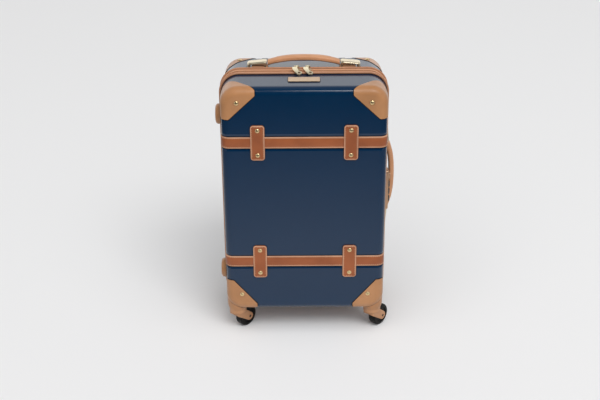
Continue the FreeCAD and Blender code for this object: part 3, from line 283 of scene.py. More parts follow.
SPLIT_Y = (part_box("front_shell")[1].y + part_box("rear_shell")[0].y) / 2
RIM_LOW, RIM_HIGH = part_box("front_shell")
RIM_HALF = RIM_HIGH.x
RIM_BOTTOM, RIM_TOP = RIM_LOW.z, RIM_HIGH.z
RIM_CORNER = 0.038
RIM_FLAT, RIM_TALL = RIM_HALF - RIM_CORNER, RIM_TOP - RIM_BOTTOM - 2 * RIM_CORNER
RIM_ROUND = 4 * RIM_FLAT + 2 * RIM_TALL + 2 * math.pi * RIM_CORNER
RIM_STEPS, RIM_WELD = 10, 1e-5
TAPE_INNER, TAPE_FOLD, TAPE_OUTER = 0.0012, 0.0042, 0.0136
TAPE_MIDDLE = (TAPE_INNER + TAPE_OUTER) / 2
TAPE_BED, TAPE_EDGE, TAPE_RISE, TAPE_BULGE = 0.0003, 0.0010, 0.0011, 0.0014
COIL_PITCH, COIL_RISE, COIL_OFF, COIL_STOP = 0.0022, 0.0021, 0.00165, 0.0262
COIL_TURN_SIZE = (0.0013, 0.0033, 0.0018)
COIL_START = {-1: 0.25, 1: 0.75}
STRIP_COUNT = 60


def drawn_ring(form, points):
    """A closed loop of edges: the section that is drawn along a path."""
    verts = [form.verts.new(point) for point in points]
    return [form.edges.new((verts[i - 1], verts[i])) for i in range(len(verts))]


def draw_straight(form, ring, step):
    """Draws a section on by one step and gives back its new end."""
    made = bmesh.ops.extrude_edge_only(form, edges=ring)["geom"]
    fresh = {item for item in made if isinstance(item, bmesh.types.BMVert)}
    bmesh.ops.translate(form, verts=list(fresh), vec=step)
    return [item for item in made if isinstance(item, bmesh.types.BMEdge) and set(item.verts) <= fresh]


def draw_round(form, ring, centre, axis, angle, steps):
    """Draws a section round a bend and gives back its new end."""
    verts = list({vert for edge in ring for vert in edge.verts})
    made = bmesh.ops.spin(form, geom=verts + ring, cent=centre, axis=axis, dvec=(0, 0, 0), angle=angle,
                          steps=steps)
    return [item for item in made["geom_last"] if isinstance(item, bmesh.types.BMEdge)]


def round_the_rim(name, section):
    """Draws a section, given as (distance out of the shell, y), once round the rim of the case."""
    form = bmesh.new()
    ring = drawn_ring(form, [(0.0, y, RIM_BOTTOM - out) for out, y in section])
    low, high = RIM_BOTTOM + RIM_CORNER, RIM_TOP - RIM_CORNER
    for step, centre in (((RIM_FLAT, 0, 0), (RIM_FLAT, 0, low)), ((0, 0, RIM_TALL), (RIM_FLAT, 0, high)),
                         ((-2 * RIM_FLAT, 0, 0), (-RIM_FLAT, 0, high)),
                         ((0, 0, -RIM_TALL), (-RIM_FLAT, 0, low))):
        ring = draw_straight(form, ring, step)
        ring = draw_round(form, ring, centre, (0, -1, 0), math.pi / 2, RIM_STEPS)
    draw_straight(form, ring, (RIM_FLAT, 0, 0))
    bmesh.ops.remove_doubles(form, verts=form.verts, dist=RIM_WELD)
    bmesh.ops.recalc_face_normals(form, faces=form.faces)
    return piece(name, form)


def on_the_rim(distance, out):
    """A place this far round the rim from the middle of the bottom, with the directions along and out."""
    bend = RIM_CORNER * math.pi / 2
    sides = ((RIM_FLAT, 0, (0, RIM_BOTTOM)), (RIM_TALL, 90, (RIM_HALF, RIM_BOTTOM + RIM_CORNER)),
             (2 * RIM_FLAT, 180, (RIM_FLAT, RIM_TOP)), (RIM_TALL, 270, (-RIM_HALF, RIM_TOP - RIM_CORNER)),
             (RIM_FLAT, 360, (-RIM_FLAT, RIM_BOTTOM)))
    for length, heading, (x, z) in sides:
        along = Vector((math.cos(math.radians(heading)), 0, math.sin(math.radians(heading))))
        away = Vector((along.z, 0, -along.x))
        if distance <= length or heading == 360:
            return Vector((x, 0, z)) + along * distance + away * out, along, away
        distance -= length
        if distance <= bend:
            turn = distance / RIM_CORNER
            middle = Vector((x, 0, z)) + along * length - away * RIM_CORNER
            tangent = along * math.cos(turn) - away * math.sin(turn)
            outward = away * math.cos(turn) + along * math.sin(turn)
            return middle + outward * (RIM_CORNER + out), tangent, outward
        distance -= bend


def add_thread(form, place, along, across, up, length, width, thick):
    """One coil turn or stitch: a small pebble-shaped bead of thread."""
    turn = Matrix((along * length / 2, across * width / 2, up * thick / 2)).transposed().to_4x4()
    bmesh.ops.create_uvsphere(form, u_segments=8, v_segments=4, radius=1.0,
                              matrix=Matrix.Translation(place) @ turn)


def thread_piece(name, threads):
    """All the beads of a coil or of rows of stitches as one object, put together in short strips."""
    whole = bmesh.new()
    for first in range(0, len(threads), STRIP_COUNT):
        strip = bmesh.new()
        for bead in threads[first:first + STRIP_COUNT]:
            add_thread(strip, *bead)
        strip_mesh = bpy.data.meshes.new("strip")
        strip.to_mesh(strip_mesh)
        strip.free()
        whole.from_mesh(strip_mesh)
        bpy.data.meshes.remove(strip_mesh)
    return piece(name, whole)


tape_cloth = cloth("zip_tape", (0.57, 0.28, 0.15), (0.72, 0.39, 0.225), 1300.0, 0.00012)
coil_thread = finish("zip_coil", (0.62, 0.325, 0.18), 0.45)
for tape_node, tape_body, tape_shell, tape_way in (("front_zip_tape", "front_lid", "front_shell", -1),
                                                   ("rear_zip_tape", "rear_case", "rear_shell", 1)):
    tape_section = [(TAPE_BED, TAPE_INNER), (TAPE_BED, TAPE_OUTER), (TAPE_EDGE, TAPE_OUTER),
                    (TAPE_BULGE, TAPE_MIDDLE), (TAPE_RISE, TAPE_FOLD), (TAPE_EDGE, TAPE_INNER)]
    tape = round_the_rim(f"{tape_node}_woven", [(out, SPLIT_Y + tape_way * y) for out, y in tape_section])
    tape.data.materials.append(tape_cloth)
    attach(tape, tape_body)
    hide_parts(tape_node)

    coil_turns = int(RIM_ROUND / COIL_PITCH)
    coil_beads = []
    for turn_number in range(coil_turns):
        coil_at = (turn_number + COIL_START[tape_way]) * RIM_ROUND / coil_turns
        coil_place, coil_along, coil_out = on_the_rim(coil_at, COIL_RISE)
        at_hinge = coil_place.x < -RIM_HALF and RIM_BOTTOM + COIL_STOP < coil_place.z < RIM_TOP - COIL_STOP
        if not at_hinge:
            coil_place.y = SPLIT_Y + tape_way * COIL_OFF
            coil_beads.append((coil_place, coil_along, Vector((0, 1, 0)), coil_out, *COIL_TURN_SIZE))
    coil = thread_piece(f"{tape_node}_coil", coil_beads)
    coil.data.materials.append(coil_thread)
    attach(coil, tape_body)

# Piping.
# A corded edge wrapped in tan leathercloth is sewn along the outer edge of each tape, and a folded bead of
# the same cloth is the hinge on the left.

PIPING_RADIUS, PIPING_OFF, PIPING_SIDES = 0.0023, 0.0021, 12
BEAD_ROUND = 0.0008
PORES, GRAIN_PATCHES = 420.0, 26.0
GRAIN_LOW, GRAIN_HIGH = 0.3, 0.7
GRAIN_DULL, GRAIN_BRIGHT = 0.06, 0.04

grain, grain_in, grain_out = effect("pressed_grain", {"Cells": 900.0}, ["Height", "Tone"])
grain_at = add_node(grain, "ShaderNodeTexCoord")
grain_cells = add_node(grain, "ShaderNodeTexVoronoi", {
    "Vector": grain_at.outputs["Object"], "Scale": grain_in.outputs["Cells"]}, feature="SMOOTH_F1")
grain_pores = add_node(grain, "ShaderNodeTexNoise", {
    "Vector": grain_at.outputs["Object"], "Scale": PORES, "Detail": 4.0})
grain_height = add_node(grain, "ShaderNodeMath", {
    0: grain_cells.outputs["Distance"], 1: grain_pores.outputs[0]}, operation="MULTIPLY")
grain_tone = add_node(grain, "ShaderNodeTexNoise", {
    "Vector": grain_at.outputs["Object"], "Scale": GRAIN_PATCHES, "Detail": 5.0})
grain_spread = add_node(grain, "ShaderNodeMapRange", {
    "Value": grain_tone.outputs[0], "From Min": GRAIN_LOW, "From Max": GRAIN_HIGH})
grain.links.new(grain_height.outputs[0], grain_out.inputs["Height"])
grain.links.new(grain_spread.outputs[0], grain_out.inputs["Tone"])


def grained(name, dark, pale, roughness, cells, depth):
    """A grained leather or moulding whose tone varies gently."""
    material = finish(name, pale, roughness)
    cells_node = place_effect(material, grain, Cells=cells)
    tint(material, cells_node.outputs["Tone"], dark, pale)
    gloss(material, cells_node.outputs["Tone"], roughness + GRAIN_DULL, roughness - GRAIN_BRIGHT)
    relief(material, cells_node.outputs["Height"], depth)
    return material


piping_leather = grained("tan_piping", (0.36, 0.167, 0.088), (0.45, 0.222, 0.125), 0.5, 1500.0, 0.00012)
for piping_node, piping_body in (("front_piping", "front_lid"), ("rear_piping", "rear_case")):
    piping_low, piping_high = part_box(piping_node)
    piping_y = (piping_low.y + piping_high.y) / 2
    piping_section = []
    for piping_step in range(PIPING_SIDES):
        piping_angle = 2 * math.pi * piping_step / PIPING_SIDES
        piping_section.append((PIPING_OFF + PIPING_RADIUS * math.sin(piping_angle),
                               piping_y + PIPING_RADIUS * math.cos(piping_angle)))
    piping = round_the_rim(f"{piping_node}_cord", piping_section)
    piping.data.materials.append(piping_leather)
    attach(piping, piping_body)
    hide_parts(piping_node)
bead = softened("hinge_bead_fold", "hinge_bead", BEAD_ROUND)
bead.data.materials.append(piping_leather)
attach(bead, "rear_case")
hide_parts("hinge_bead")

# Corner guards, caster sockets and side feet.
# Tan caps moulded in one piece with a pressed leather grain, riveted over the corners. The lower ones run
# down into the sockets that the casters turn in; two plain feet of the same plastic stand on the left side.

GUARD_SHUT, GUARD_CLEAR = 0.76, 0.97

tan = grained("tan_moulding", (0.365, 0.168, 0.067), (0.45, 0.215, 0.092), 0.33, 1100.0, 0.00012)
# Painted shade: a near-black outline where the guards' edges meet the shell, with GUARD_SHUT and GUARD_CLEAR
# as its thresholds.
paint_seam_shade(tan, (0.012, 0.009, 0.010), GUARD_SHUT, GUARD_CLEAR)
guard_nodes = [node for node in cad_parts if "guard" in node]
dress(tan, *guard_nodes)
dress(tan, "side_feet")

# Belts.
# Belt leather in cognac with paler folded edges. Each belt lies in its channel across the face of a shell and
# round both sides, and is stitched along the edges.

BELT_HALF, BELT_EDGE, BELT_ROLL = 0.0118, 0.0019, 0.0005
BELT_TOP, BELT_BED, BELT_CROWN_DROP = 0.0012, -0.0011, 0.0002
GROOVE_DEEP, GROOVE_NEAR, GROOVE_FAR, GROOVE_END = 0.0004, 0.0003, 0.0010, 0.0016
BEND_STEPS = 8
DRAFT = math.radians(2.0)
FACE_ROUND = 0.016
STITCH_PITCH, STITCH_IN, STITCH_SUNK = 0.0042, 0.0007, 0.0003
STITCH_SIZE = (0.0027, 0.0007, 0.0007)
EDGE_SLACK = 0.0001

cognac = grained("cognac_leather", (0.255, 0.066, 0.017), (0.34, 0.093, 0.026), 0.42, 1300.0, 0.00015)
pale_edge = grained("pale_leather_edge", (0.46, 0.225, 0.135), (0.60, 0.325, 0.20), 0.5, 1500.0, 0.0001)
thread = finish("linen_thread", (0.62, 0.40, 0.24), 0.7)


class BeltLine:
    """The way of a belt over one shell: up one side wall, round the edge, across the face and back."""

    def __init__(self, node, shell, way):
        low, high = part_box(node)
        shell_low, shell_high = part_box(shell)
        self.way = way
        self.face = shell_low.y if way < 0 else shell_high.y
        self.rim = shell_high.y if way < 0 else shell_low.y
        self.end = high.y if way < 0 else low.y
        deep = abs(self.face - self.rim) - FACE_ROUND
        self.corner_x = RIM_HALF - deep * math.tan(DRAFT) - FACE_ROUND / math.cos(DRAFT)
        self.corner_y = self.face - way * FACE_ROUND
        self.sweep = math.pi / 2 - DRAFT
        self.wall = (abs(self.corner_y - self.end) + FACE_ROUND * math.sin(DRAFT)) / math.cos(DRAFT)
        self.length = 2 * self.wall + 2 * self.sweep * FACE_ROUND + 2 * self.corner_x

    def corner(self, side):
        return Vector((side * self.corner_x, self.corner_y, 0))

    def normal(self, angle):
        """The outward direction, with the angle counted from +X towards the face."""
        return Vector((math.cos(angle), self.way * math.sin(angle), 0))

    def at(self, distance, lift):
        """A point along the belt, with the direction along it and the direction out of the shell."""
        bend = self.sweep * FACE_ROUND
        if distance > self.length / 2:
            point, along, out = self.at(self.length - distance, lift)
            return Vector((-point.x, point.y, 0)), Vector((along.x, -along.y, 0)), Vector((-out.x, out.y, 0))
        if distance < self.wall:
            out = self.normal(DRAFT)
            along = Vector((-math.sin(DRAFT), self.way * math.cos(DRAFT), 0))
            start = self.corner(1) + out * FACE_ROUND - along * self.wall
            return start + along * distance + out * lift, along, out
        if distance < self.wall + bend:
            angle = DRAFT + (distance - self.wall) / FACE_ROUND
            out = self.normal(angle)
            along = Vector((-math.sin(angle), self.way * math.cos(angle), 0))
            return self.corner(1) + out * (FACE_ROUND + lift), along, out
        out = self.normal(math.pi / 2)
        start = self.corner(1) + out * (FACE_ROUND + lift)
        return start - Vector((distance - self.wall - bend, 0, 0)), Vector((-1, 0, 0)), out


def belt_section():
    """Half of the belt's section: bed, rolled edge, stitch groove and the middle."""
    inner = BELT_HALF - BELT_EDGE
    return [(BELT_BED, BELT_HALF), (BELT_TOP - BELT_ROLL, BELT_HALF), (BELT_TOP, BELT_HALF - BELT_ROLL),
            (BELT_TOP, inner), (BELT_TOP - GROOVE_DEEP, inner - GROOVE_NEAR),
            (BELT_TOP - GROOVE_DEEP, inner - GROOVE_FAR), (BELT_TOP - BELT_CROWN_DROP, inner - GROOVE_END)]


def lay_belt(form, line, level):
    """Draws one belt from end to end along its line."""
    half_section = belt_section()
    section = half_section + [(lift, -z) for lift, z in reversed(half_section)]
    start, along, out = line.at(0.0, 0.0)
    ring = drawn_ring(form, [start + out * lift + Vector((0, 0, level + z)) for lift, z in section])
    bmesh.ops.contextual_create(form, geom=ring)
    turn = line.way * line.sweep
    ring = draw_straight(form, ring, along * line.wall)
    ring = draw_round(form, ring, line.corner(1), (0, 0, 1), turn, BEND_STEPS)
    ring = draw_straight(form, ring, (-2 * line.corner_x, 0, 0))
    ring = draw_round(form, ring, line.corner(-1), (0, 0, 1), turn, BEND_STEPS)
    ring = draw_straight(form, ring, Vector((along.x, -along.y, 0)) * line.wall)
    bmesh.ops.contextual_create(form, geom=ring)


for belt_node, belt_shell, belt_body, belt_way in (("front_straps", "front_shell", "front_lid", -1),
                                                   ("rear_straps", "rear_shell", "rear_case", 1)):
    belt_line = BeltLine(belt_node, belt_shell, belt_way)
    belt_form, belt_stitches = bmesh.new(), []
    for belt_level in BELT_LEVELS:
        lay_belt(belt_form, belt_line, belt_level)
        for stitch_side in (-1, 1):
            stitch_z = belt_level + stitch_side * (BELT_HALF - BELT_EDGE - STITCH_IN)
            for stitch_number in range(int(belt_line.length / STITCH_PITCH)):
                stitch_run = (stitch_number + 0.5) * STITCH_PITCH
                stitch_at, stitch_along, stitch_out = belt_line.at(stitch_run, BELT_TOP - STITCH_SUNK)
                stitch_at.z = stitch_z
                belt_stitches.append((stitch_at, stitch_along, Vector((0, 0, 1)), stitch_out, *STITCH_SIZE))
    bmesh.ops.recalc_face_normals(belt_form, faces=belt_form.faces)
    for belt_face in belt_form.faces:
        belt_off = min(abs(belt_face.calc_center_median().z - level) for level in BELT_LEVELS)
        belt_face.material_index = 1 if belt_off > BELT_HALF - BELT_EDGE - EDGE_SLACK else 0
    belt = piece(f"{belt_node}_leather", belt_form)
    belt.data.materials.append(cognac)
    belt.data.materials.append(pale_edge)
    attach(belt, belt_body)
    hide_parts(belt_node)
    stitches = thread_piece(f"{belt_node}_stitches", belt_stitches)
    stitches.data.materials.append(thread)
    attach(stitches, belt_body)

# Keepers.
# Short leather tabs with round corners, riveted over the belts at both ends. They have the belts' pale folded
# border and a stitched line inside it.

KEEPER_ROOM = 0.031
KEEPER_ACROSS, KEEPER_ALONG, KEEPER_THICK = 0.0284, 0.0745, 0.0034
KEEPER_CORNER, KEEPER_ROLL, KEEPER_BORDER = 0.006, 0.0008, 0.0020
KEEPER_GROOVE, KEEPER_SINK = 0.0003, 0.0004
KEEPER_ROW_IN, KEEPER_STITCH_SUNK = 0.0009, 0.0002
KEEPER_LONG_ROW, KEEPER_SHORT_ROW = 14, 4
NEARLY_LEVEL, NEARLY_TOP = 0.9, KEEPER_THICK * 0.9


def make_keeper(form, stitches, place):
    """One keeper lying in its own XY plane, then set in its place."""
    corners = [form.verts.new((x * KEEPER_ACROSS / 2, y * KEEPER_ALONG / 2, 0))
               for x, y in ((-1, -1), (1, -1), (1, 1), (-1, 1))]
    form.faces.new(corners)
    before = set(form.verts) - set(corners)
    bmesh.ops.bevel(form, geom=corners, offset=KEEPER_CORNER, affect="VERTICES", segments=6, profile=0.5,
                    material=-1)
    fresh = [vert for vert in form.verts if vert not in before]
    plan = next(face for face in form.faces if set(face.verts) == set(fresh))
    raised = bmesh.ops.extrude_face_region(form, geom=[plan], use_keep_orig=True)["geom"]
    lid = next(item for item in raised if isinstance(item, bmesh.types.BMFace))
    bmesh.ops.translate(form, verts=lid.verts[:], vec=(0, 0, KEEPER_THICK))
    rim_edges = lid.edges[:]
    rounded = bmesh.ops.bevel(form, geom=rim_edges, offset=KEEPER_ROLL, affect="EDGES", segments=3,
                              profile=0.5, material=-1)
    facing = [face for face in form.faces if not face.tag and abs(face.normal.z) > NEARLY_LEVEL]
    lid = max((face for face in facing if face.calc_center_median().z > NEARLY_TOP),
              key=lambda face: face.calc_area())
    bmesh.ops.inset_region(form, faces=[lid], thickness=KEEPER_BORDER - KEEPER_ROLL, depth=0.0)
    border = {face for edge in lid.edges for face in edge.link_faces if face is not lid}
    for face in list(border) + rounded["faces"]:
        face.material_index = 1
    groove = bmesh.ops.inset_region(form, faces=[lid], thickness=KEEPER_GROOVE, depth=-KEEPER_SINK)["faces"]
    for face in [lid] + groove:
        face.material_index = 0
    fresh = [vert for vert in form.verts if vert not in before]
    row_x = KEEPER_ACROSS / 2 - KEEPER_BORDER - KEEPER_ROW_IN
    row_y = KEEPER_ALONG / 2 - KEEPER_BORDER - KEEPER_ROW_IN
    round_by = KEEPER_CORNER - KEEPER_BORDER
    turned = place.to_3x3()
    for count, is_long, along in ((KEEPER_LONG_ROW, True, (0, 1, 0)), (KEEPER_SHORT_ROW, False, (1, 0, 0))):
        reach = (row_y if is_long else row_x) - round_by
        lengthwise, outward = turned @ Vector(along), turned @ Vector((0, 0, 1))
        sideways = turned @ Vector((along[1], -along[0], 0))
        for number in range(count):
            shift = -reach + 2 * reach * (number + 0.5) / count
            for side in (-1, 1):
                spot = Vector((side * row_x, shift, 0)) if is_long else Vector((shift, side * row_y, 0))
                spot.z = KEEPER_THICK - KEEPER_STITCH_SUNK
                stitches.append((place @ spot, lengthwise, sideways, outward, *STITCH_SIZE))
    bmesh.ops.transform(form, matrix=place, verts=fresh)
    for face in form.faces:
        face.tag = True


for keeper_node, keeper_body, keeper_turn in (("front_keepers", "front_lid", 0.0),
                                              ("rear_keepers", "rear_case", math.pi)):
    keeper_low, keeper_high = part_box(keeper_node)
    keeper_x = keeper_high.x - KEEPER_ROOM / 2
    keeper_y = keeper_high.y if keeper_turn == 0.0 else keeper_low.y
    upright = Matrix.Rotation(keeper_turn, 4, "Z") @ Matrix.Rotation(math.pi / 2, 4, "X")
    keeper_form, keeper_stitches = bmesh.new(), []
    for keeper_level in BELT_LEVELS:
        for keeper_side in (-1, 1):
            keeper_place = Matrix.Translation((keeper_side * keeper_x, keeper_y, keeper_level)) @ upright
            make_keeper(keeper_form, keeper_stitches, keeper_place)
    keepers = piece(f"{keeper_node}_leather", keeper_form)
    keepers.data.materials.append(cognac)
    keepers.data.materials.append(pale_edge)
    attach(keepers, keeper_body)
    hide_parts(keeper_node)
    keeper_thread = thread_piece(f"{keeper_node}_stitches", keeper_stitches)
    keeper_thread.data.materials.append(thread)
    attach(keeper_thread, keeper_body)

# Metal fittings.
# Rivets, handle loops, the plain plate, zip sliders and pulls and the lock are die-cast and plated in a pale
# gold, bright with a light lustre of handling.

PLATED_MARKS, POLISH_WORN = 160.0, 0.13


def plated(name, dark, pale, polish):
    """A plated finish whose tone drifts a little and whose polish is worn by hair-fine marks."""
    material = finish(name, pale, polish, 1.0)
    marks = place_effect(material, handling, Scale=PLATED_MARKS)
    tint(material, marks.outputs["Tone"], dark, pale)
    gloss(material, marks.outputs["Marks"], polish, polish + POLISH_WORN)
    return material


dress(plated("pale_gold", (0.68, 0.59, 0.42), (0.79, 0.70, 0.52), 0.34), "top_handle_loops",
      "side_handle_loops")
dress(plated("bright_gold", (0.84, 0.74, 0.51), (0.91, 0.83, 0.61), 0.32), "zip_slider_left",
      "zip_slider_right", "zip_pull_left", "zip_pull_right")
dress(plated("rivet_brass", (0.78, 0.58, 0.30), (0.92, 0.72, 0.40), 0.33), "front_rivets", "rear_rivets")
dress(plated("rose_gold", (0.52, 0.38, 0.255), (0.62, 0.465, 0.32), 0.36), "name_plate")
dress(plated("lock_bronze", (0.57, 0.36, 0.23), (0.68, 0.44, 0.29), 0.36), "lock_housing", "lock_button")
dial_black = finish("dial_black", (0.018, 0.016, 0.014), 0.4)
dial_marks = place_effect(dial_black, handling, Scale=300.0)
gloss(dial_black, dial_marks.outputs["Tone"], 0.35, 0.5)
dress(dial_black, "lock_dial_1", "lock_dial_2", "lock_dial_3")

# Carry handles.
# A strap of cognac leather with its ends in the metal loops. Its middle is wrapped over a core into an arched
# grip, closed with a stitched seam along both lower edges.

HANDLE_HALF = 0.0095
WRAP_HALF_LENGTH, WRAP_ROLL, WRAP_STEPS = 0.057, 0.0006, 16
STRAP_HALF_LENGTH, STRAP_TIP_SLIM, STRAP_STEPS = 0.107, 0.0003, 20
ARCH_HALF, ARCH_FULLNESS = 0.0743, 2.4
ARCH_TOP, ARCH_UNDER = 0.026, 0.014
ARCH_END, ARCH_END_UNDER = 0.016, 0.0036
ARCH_NEARLY, ARCH_GAP = 0.999, 0.0004
TAB_LOW, TAB_HIGH = 0.0008, 0.0048
WRAP_THICK = 0.0005
SIDE_HANDLE_OUT = 0.002
GRIP_SQUARENESS, GRIP_SIDES = 0.72, 28
GRIP_STITCHES, GRIP_ROW_SHARE, GRIP_ROW_DROP, GRIP_ROW_SUNK = 27, 0.95, 0.18, 0.0001
SLOPE_STEP = 0.002


def arch_at(x):
    """Underside and top of the handle at a distance from its middle."""
    share = abs(x) / ARCH_HALF
    if share > 1.0:
        return TAB_LOW, TAB_HIGH
    arch = 1 - share ** ARCH_FULLNESS
    under = ARCH_END_UNDER + (ARCH_UNDER - ARCH_END_UNDER) * arch
    return under, ARCH_END + (ARCH_TOP - ARCH_END) * arch


def skin_stations(form, stations):
    """Bridges rounded rings given as (x, middle height, half width, half thickness) into one closed skin."""
    previous = None
    for x, height, half_wide, half_thick in stations:
        ring = bmesh.ops.create_circle(form, segments=GRIP_SIDES, radius=1.0, cap_ends=False)["verts"]
        for vert in ring:
            wide = math.copysign(abs(vert.co.y) ** GRIP_SQUARENESS, vert.co.y)
            tall = math.copysign(abs(vert.co.x) ** GRIP_SQUARENESS, vert.co.x)
            vert.co = (x, half_wide * wide, height + half_thick * tall)
        edges = list({edge for vert in ring for edge in vert.link_edges})
        if previous is None:
            bmesh.ops.contextual_create(form, geom=edges)
        else:
            bmesh.ops.bridge_loops(form, edges=previous + edges)
        previous = edges
    bmesh.ops.contextual_create(form, geom=previous)


def strap_station(x, slimmer):
    """One ring of the handle's skin, this far from its middle and this much slimmer."""
    under, top = arch_at(x)
    return x, (under + top) / 2, HANDLE_HALF - slimmer, (top - under) / 2 - slimmer


def make_handle(name, place):
    """One handle: the strap from loop to loop and the wrap over its middle, sewn along both sides."""
    form = bmesh.new()
    reach = ARCH_HALF * ARCH_NEARLY
    strap = [strap_station(-STRAP_HALF_LENGTH, STRAP_TIP_SLIM), strap_station(-ARCH_HALF - ARCH_GAP, 0.0)]
    strap += [strap_station(reach * step / STRAP_STEPS, WRAP_THICK)
              for step in range(-STRAP_STEPS, STRAP_STEPS + 1)]
    strap += [strap_station(ARCH_HALF + ARCH_GAP, 0.0), strap_station(STRAP_HALF_LENGTH, STRAP_TIP_SLIM)]
    skin_stations(form, strap)
    wrap = [strap_station(-WRAP_HALF_LENGTH, 2 * WRAP_THICK),
            strap_station(-WRAP_HALF_LENGTH + WRAP_ROLL, 0.0)]
    wrap += [strap_station(WRAP_HALF_LENGTH * step / WRAP_STEPS, 0.0)
             for step in range(2 - WRAP_STEPS, WRAP_STEPS - 1)]
    wrap += [strap_station(WRAP_HALF_LENGTH - WRAP_ROLL, 0.0),
             strap_station(WRAP_HALF_LENGTH, 2 * WRAP_THICK)]
    skin_stations(form, wrap)
    bmesh.ops.recalc_face_normals(form, faces=form.faces)
    bmesh.ops.transform(form, matrix=place, verts=form.verts)
    handle = piece(f"{name}_leather", form)
    handle.data.materials.append(cognac_grip)
    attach(handle, name)
    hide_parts(name)

    rows = []
    turned = place.to_3x3()
    for side in (-1, 1):
        for number in range(GRIP_STITCHES):
            x = WRAP_HALF_LENGTH * GRIP_ROW_SHARE * (2 * number / (GRIP_STITCHES - 1) - 1)
            under, top = arch_at(x)
            climb = sum(arch_at(x + SLOPE_STEP)) - sum(arch_at(x - SLOPE_STEP))
            slope = Vector((1, 0, climb / (4 * SLOPE_STEP))).normalized()
            level = (under + top) / 2 - (top - under) * GRIP_ROW_DROP
            spot, out = Vector((x, side * (HANDLE_HALF - GRIP_ROW_SUNK), level)), Vector((0, side, 0))
            rows.append((place @ spot, turned @ slope, turned @ slope.cross(out), turned @ out, *STITCH_SIZE))
    seam = thread_piece(f"{name}_stitches", rows)
    seam.data.materials.append(thread)
    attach(seam, name)


cognac_grip = grained("grip_leather", (0.49, 0.23, 0.11), (0.60, 0.30, 0.155), 0.45, 1300.0, 0.00015)
shell_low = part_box("rear_shell")[0]
loops_low, loops_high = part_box("top_handle_loops")
loops_y = (loops_low.y + loops_high.y) / 2
shell_top = RIM_TOP - (loops_y - shell_low.y) * math.tan(DRAFT)
top_seat = Matrix.Translation((0, loops_y, shell_top)) @ Matrix.Rotation(-DRAFT, 4, "X")
make_handle("top_handle", top_seat)
side_low, side_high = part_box("side_handle_loops")
side_y, side_z = (side_low.y + side_high.y) / 2, (side_low.z + side_high.z) / 2
shell_side = RIM_HALF - (side_y - shell_low.y) * math.tan(DRAFT)
side_seat = (Matrix.Translation((shell_side, side_y, side_z)) @ Matrix.Rotation(DRAFT, 4, "Z")
             @ Matrix.Rotation(math.pi / 2, 4, "Y") @ Matrix.Translation((0, 0, SIDE_HANDLE_OUT)))
make_handle("side_handle", side_seat)

# Casters.
# Tan moulded forks turn in the sockets of the lower guards. The wheels are black, one hard tyre on a dished
# hub, and run on blackened steel pins.

fork_tan = grained("fork_moulding", (0.40, 0.192, 0.088), (0.48, 0.242, 0.115), 0.42, 1600.0, 0.00008)
# Painted shade: a dark line where each fork meets its socket.
paint_seam_shade(fork_tan, (0.035, 0.022, 0.018), SEAM_SHUT, SEAM_CLEAR)
dress(fork_tan, *[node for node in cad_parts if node.startswith("caster_fork")])
wheel_black = finish("wheel_black", (0.012, 0.012, 0.013), 0.45)
wheel_black.node_tree.nodes["Principled BSDF"].inputs["Specular IOR Level"].default_value = 0.12
wheel_marks = place_effect(wheel_black, handling, Scale=120.0)
tint(wheel_black, wheel_marks.outputs["Tone"], (0.004, 0.004, 0.004), (0.011, 0.010, 0.009))
gloss(wheel_black, wheel_marks.outputs["Marks"], 0.42, 0.6)
dress(wheel_black, *[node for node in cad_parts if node.startswith("caster_wheel")])
pin_steel = finish("axle_steel", (0.05, 0.046, 0.042), 0.38, 1.0)
pin_marks = place_effect(pin_steel, handling, Scale=400.0)
gloss(pin_steel, pin_marks.outputs["Marks"], 0.35, 0.5)
dress(pin_steel, *[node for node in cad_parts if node.startswith("caster_axle")])

# Trolley handle.
# Three nested stages of satin anodised tube. The dark grip closes flush with its tray behind the carry handle
# and has a push button in its top.

TUBE_LINES, TUBE_DRAWN = 2500.0, (1.0, 1.0, 0.01)

anodised = finish("tube_aluminium", (0.72, 0.72, 0.73), 0.34, 1.0)
anodised_at = add_node(anodised.node_tree, "ShaderNodeTexCoord")
anodised_draw = add_node(anodised.node_tree, "ShaderNodeMapping", {"Vector": anodised_at.outputs["Object"]})
anodised_draw.inputs["Scale"].default_value = TUBE_DRAWN
anodised_lines = add_node(anodised.node_tree, "ShaderNodeTexNoise", {
    "Vector": anodised_draw.outputs[0], "Scale": TUBE_LINES, "Detail": 2.0})
gloss(anodised, anodised_lines.outputs[0], 0.26, 0.42)
dress(anodised, "trolley_outer_tubes", "trolley_middle_tubes", "trolley_inner_tubes")
black_moulding = grained("black_moulding", (0.003, 0.006, 0.013), (0.005, 0.010, 0.020), 0.2, 2200.0, 0.00002)
dress(black_moulding, "trolley_bezel", "trolley_foot_brackets", "trolley_grip", "trolley_button",
      "packing_clip")

# Packing strap.
# An elastic webbing strap across the back half, sewn into the lining's side seams and closed by the clip.

PACKING_CUT, PACKING_ROUND = (0.025, 0.323), 0.0004

elastic_web = cloth("packing_elastic", (0.010, 0.012, 0.02), (0.035, 0.04, 0.055), 1100.0, 0.0002)
packing = softened("packing_strap_web", "packing_strap", PACKING_ROUND)
packing.data.materials.append(elastic_web)
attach(packing, "rear_case")
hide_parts("packing_strap")

# Floor, light and camera.
# Wide pale paper on the floor under a soft sky, a large softbox in front, high on the right, and a broad soft
# light overhead. A bright wall behind and a dark room behind the camera are seen only in the gloss.

